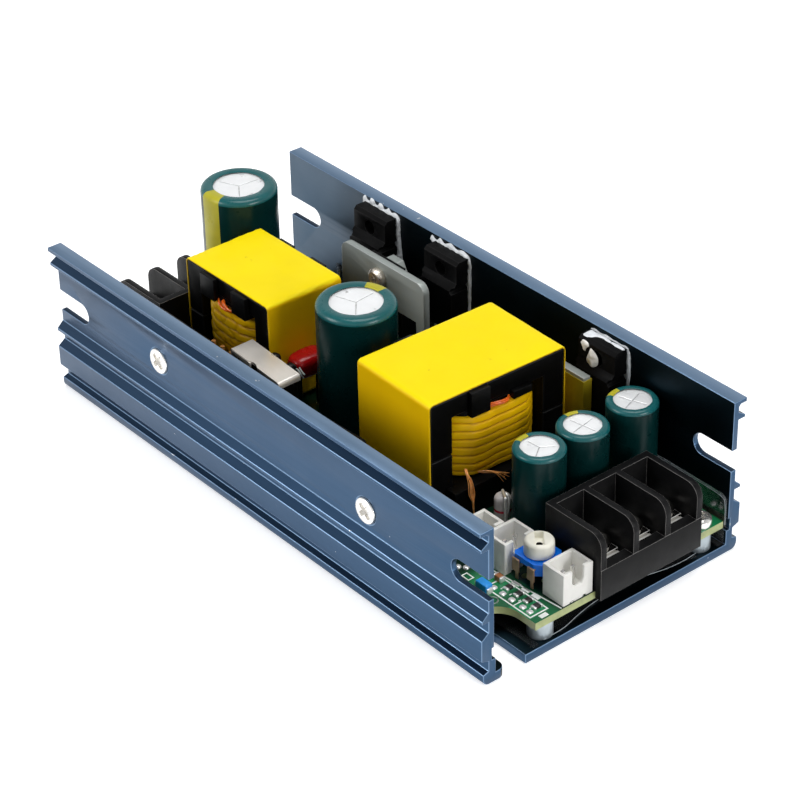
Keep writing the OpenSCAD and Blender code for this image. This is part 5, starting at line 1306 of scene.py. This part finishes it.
def makeSmallParts():
    for node, edge in (("filter_capacitor", 0.5), ("snubber_capacitor", 0.5)):
        roundedCopy(node, edge, ["black", "blackWorn"], segments=3)
    # Dipped part: a soft cushion of red lacquer on its two leads
    low, high = edgesOf("film_capacitor")
    under, cushion = dippedPart["under"], dippedPart["cushion"]
    middle = Vector(((low.x + high.x) / 2, (low.y + high.y) / 2, (under + high.z) / 2))
    half = Vector((high.x - low.x, high.y - low.y, high.z - under)) / 2
    bm = bmesh.new()
    rows, steps = 24, 40
    rings = []
    for k in range(rows + 1):
        t = -math.pi / 2 + math.pi * k / rows
        ring = []
        for step in range(steps):
            a = 2 * math.pi * step / steps
            ct = math.copysign(abs(math.cos(t)) ** cushion["up"][0], math.cos(t))
            st = math.copysign(abs(math.sin(t)) ** cushion["up"][1], math.sin(t))
            ca = math.copysign(abs(math.cos(a)) ** cushion["round"], math.cos(a))
            sa = math.copysign(abs(math.sin(a)) ** cushion["round"], math.sin(a))
            spot = Vector((ca * ct * half.x, sa * ct * half.y, st * half.z)) * dippedPart["fullness"]
            lump = 1.0 + 0.03 * noiseAt(spot, 0.3, 7.0)
            ring.append((middle.x + spot.x * lump, middle.y + spot.y * lump, middle.z + spot.z))
        rings.append(ring)
    for a in (rings[0], rings[-1]):
        for i, p in enumerate(a):
            spread = dippedPart["poleRadius"]
            c = sum((Vector(q) for q in a), Vector()) / len(a)
            angle = 2 * math.pi * i / steps
            a[i] = tuple(c + Vector((math.cos(angle) * spread, math.sin(angle) * spread, 0)))
    vertices = [[bm.verts.new(p) for p in ring] for ring in rings]
    bridge(bm, vertices)
    for side in (-1, 1):
        y = middle.y + side * half.y * 0.55
        tube(bm, [(middle.x, y, under + 1.2), (middle.x, y, 11.0), (middle.x, y, low.z)], dippedPart["lead"], 12, 4,
             tint=1)
    finishPiece("dipped_part", bm, ["red", "sleeving"], stands=["film_capacitor"], smooth=70.0)
    # Two bent lead ends above it, between the inductor and the tall capacitor
    bm = bmesh.new()
    tube(bm, [(-12.4, -11.9, 21.4), (-11.6, -12.3, 22.2), (-10.4, -12.4, 21.9), (-9.8, -12.2, 20.9)], 0.22, 8, 8)
    tube(bm, [(-11.2, -12.0, 22.6), (-10.1, -12.2, 22.2), (-9.2, -12.3, 22.0)], 0.2, 8, 6)
    finishPiece("bent_lead_end", bm, ["plateGrey"], like="sleeved_leads", smooth=70.0)


def makeDiode():
    low, high = edgesOf("diode")
    x, y = (low.x + high.x) / 2, (low.y + high.y) / 2
    radius = (high.x - low.x) / 2
    profile = []
    for a in range(0, 91, 15):
        profile.append((max(0.4, radius - 1.0 + 1.0 * math.sin(math.radians(a))),
                        low.z + 1.0 - math.cos(math.radians(a))))
    for k in range(1, 24):
        profile.append((radius, low.z + 1.0 + (high.z - low.z - 2.1) * k / 24))
    for a in range(90, -1, -15):
        profile.append((max(0.4, radius - 1.1 + 1.1 * math.sin(math.radians(a))),
                        high.z - 1.1 + 1.1 * math.cos(math.radians(a))))
    bm = bmesh.new()
    layer = bm.verts.layers.float.new("band")
    rings = spin(bm, profile, 48)
    for ring in rings:
        for vert in ring:
            share = (vert.co.z - low.z) / (high.z - low.z)
            vert[layer] = 1.0 if 0.36 < share < 0.46 else 0.0
    finishPiece("glass_diode", bm, ["glassGrey"], stands=["diode"], smooth=60.0,
                place=Matrix.Translation((x, y, 0.0)))
    # Its lead comes out of the top and bends down beside it
    bm = bmesh.new()
    top = high.z
    tube(bm, [(x, y, top - 0.3), (x + 0.15, y, top + 0.25), (x + 0.8, y, top + 0.5), (x + 1.6, y, top + 0.1),
              (x + 1.95, y - 0.05, top - 1.0), (x + 2.0, y - 0.3, top - 2.6), (x + 2.1, y - 0.8, top - 4.2),
              (x + 2.2, y - 1.27, top - 5.4)], 0.26, 10, 8)
    finishPiece("diode_lead_bend", bm, ["tin"], like="device_leads", smooth=70.0)


makeSmallParts()
makeDiode()
print("small parts dressed")


# Board: solder mask, printed outlines, solder bumps and the chip parts at the near corner

boardMarks = {
    "line": 0.3,
    "raise": 0.05,
    "pads": (53.7, 56.2, 58.7, 61.7, 63.6),
    "padRow": -17.85,
    "chips": (55.7, 58.4, 61.0, 63.3),
    "chipRow": -15.8,
    "labels": (55.5, 58.2, 60.9),
}


def bar(bm, start, end, width, low, high):
    a, b = Vector(start), Vector(end)
    along = (b - a).normalized()
    side = Vector((-along.y, along.x)) * width / 2
    a, b = a - along * width / 2, b + along * width / 2
    prism(bm, [a - side, b - side, b + side, a + side], low, high)


def frameRing(bm, x0, y0, x1, y1, width, low, high):
    outer = [(x0, y0), (x1, y0), (x1, y1), (x0, y1)]
    inner = [(x0 + width, y0 + width), (x1 - width, y0 + width), (x1 - width, y1 - width), (x0 + width, y1 - width)]
    rings = [[bm.verts.new((p[0], p[1], z)) for p in ring] for ring, z in
             ((outer, low), (outer, high), (inner, high), (inner, low))]
    bridge(bm, rings + rings[:1], ends=False)


def makeBoard():
    top = edgesOf("circuit_board")[1].z
    line, rise = boardMarks["line"], top + boardMarks["raise"]
    low = top - 0.02
    silk = bmesh.new()
    bar(silk, (49.8, -14.4), (66.5, -12.75), line, low, rise)
    frameRing(silk, 52.4, -19.1, 65.1, -14.5, line, low, rise)
    bar(silk, (60.2, -18.9), (60.2, -16.9), line * 0.7, low, rise)
    for x in boardMarks["pads"][:4]:
        bar(silk, (x + 1.15, -17.1), (x + 1.15, -16.75), line * 0.7, low, rise)
    # Plain boxes where small labels would stand
    for x in boardMarks["labels"]:
        prism(silk, [(x - 0.95, -14.3), (x + 0.95, -14.25), (x + 0.95, -13.45), (x - 0.95, -13.5)], low, rise)
    prism(silk, [(65.5, -17.5), (66.5, -17.5), (66.5, -15.7), (65.5, -15.7)], low, rise)
    frameRing(silk, 46.8, -20.0, 49.0, -18.5, 0.26, low, rise)
    ring = [(56.4 + 1.05 * math.cos(a), -20.6 + 1.05 * math.sin(a)) for a in (2 * math.pi * k / 24 for k in range(24))]
    for a, b in zip(ring, ring[1:] + ring[:1]):
        if a[0] > 55.4:
            bar(silk, a, b, 0.24, low, rise)
    finishPiece("board_print", silk, ["silk"], like="circuit_board", smooth=30.0)

    bumps = bmesh.new()
    for x in boardMarks["pads"]:
        dome(bumps, x, boardMarks["padRow"], low, 1.3, 1.3, 0.34, 3.4)
    for x, y in ((47.2, -15.9), (48.9, -16.6), (45.6, -17.6), (44.4, -18.6), (63.4, 27.5), (64.9, 24.0), (61.6, 28.0)):
        dome(bumps, x, y, low, 1.3, 1.3, 0.45, 2.0)
    for x, y in ((65.9, -7.4), (65.9, -9.9)):
        dome(bumps, x + 0.35, y, low, 0.6, 1.0, 0.2, 2.4)
    finishPiece("solder_bumps", bumps, ["solder"], like="circuit_board", smooth=60.0)

    # Chip parts: a body between two soldered ends
    chips = bmesh.new()
    for x in boardMarks["chips"]:
        y = boardMarks["chipRow"]
        block(chips, (x - 0.62, y - 0.55, top), (x + 0.62, y + 0.55, top + 0.55), 0.06)
        for side in (-1, 1):
            block(chips, (x - 0.64, y + side * 0.78 - 0.26, top - 0.01), (x + 0.64, y + side * 0.78 + 0.26, top + 0.5),
                  0.08, tint=1)
    x, y = 52.6, -15.5
    block(chips, (x - 0.85, y - 0.62, top), (x + 0.85, y + 0.62, top + 1.15), 0.12, tint=2)
    for side in (-1, 1):
        block(chips, (x + side * 0.85 - 0.22, y - 0.65, top - 0.01), (x + side * 0.85 + 0.22, y + 0.65, top + 1.18),
              0.12, tint=1)
    finishPiece("chip_parts_fine", chips, ["resistor", "solder", "chipBrown"], stands=["chip_parts"], smooth=40.0)
    blue = bmesh.new()
    block(blue, (51.4, -20.5, top), (54.4, -18.7, top + 1.85), 0.22, 3)
    block(blue, (54.3, -20.3, top), (54.75, -18.9, top + 1.2), 0.08, tint=1)
    block(blue, (51.05, -20.3, top), (51.5, -18.9, top + 1.2), 0.08, tint=1)
    finishPiece("chip_blue", blue, ["chipBlue", "solder"], like="chip_parts", smooth=40.0)
    print("board dressed")


makeBoard()


# Nodes that keep their own mesh and get a finish

finishOf = {
    "circuit_board": "board", "device_leads": "tin", "inductor_leads": "copper",
    "transformer_pins": "tin", "capacitor_leads": "tin", "terminal_contacts": "contact", "socket_pins": "tin",
    "sleeved_leads": "sleeving",
}


def dressNode(name, mat):
    mesh = nodes[name].data
    mesh.materials.clear()
    mesh.materials.append(materials[mat])
    for face in mesh.polygons:
        face.material_index = 0
    dressed.append(name)


for name, finish in finishOf.items():
    dressNode(name, finish)
left = [n for n in nodes if not nodes[n].hide_render and n not in dressed]
print("nodes kept from the part:", len(dressed), "without a finish:", left)
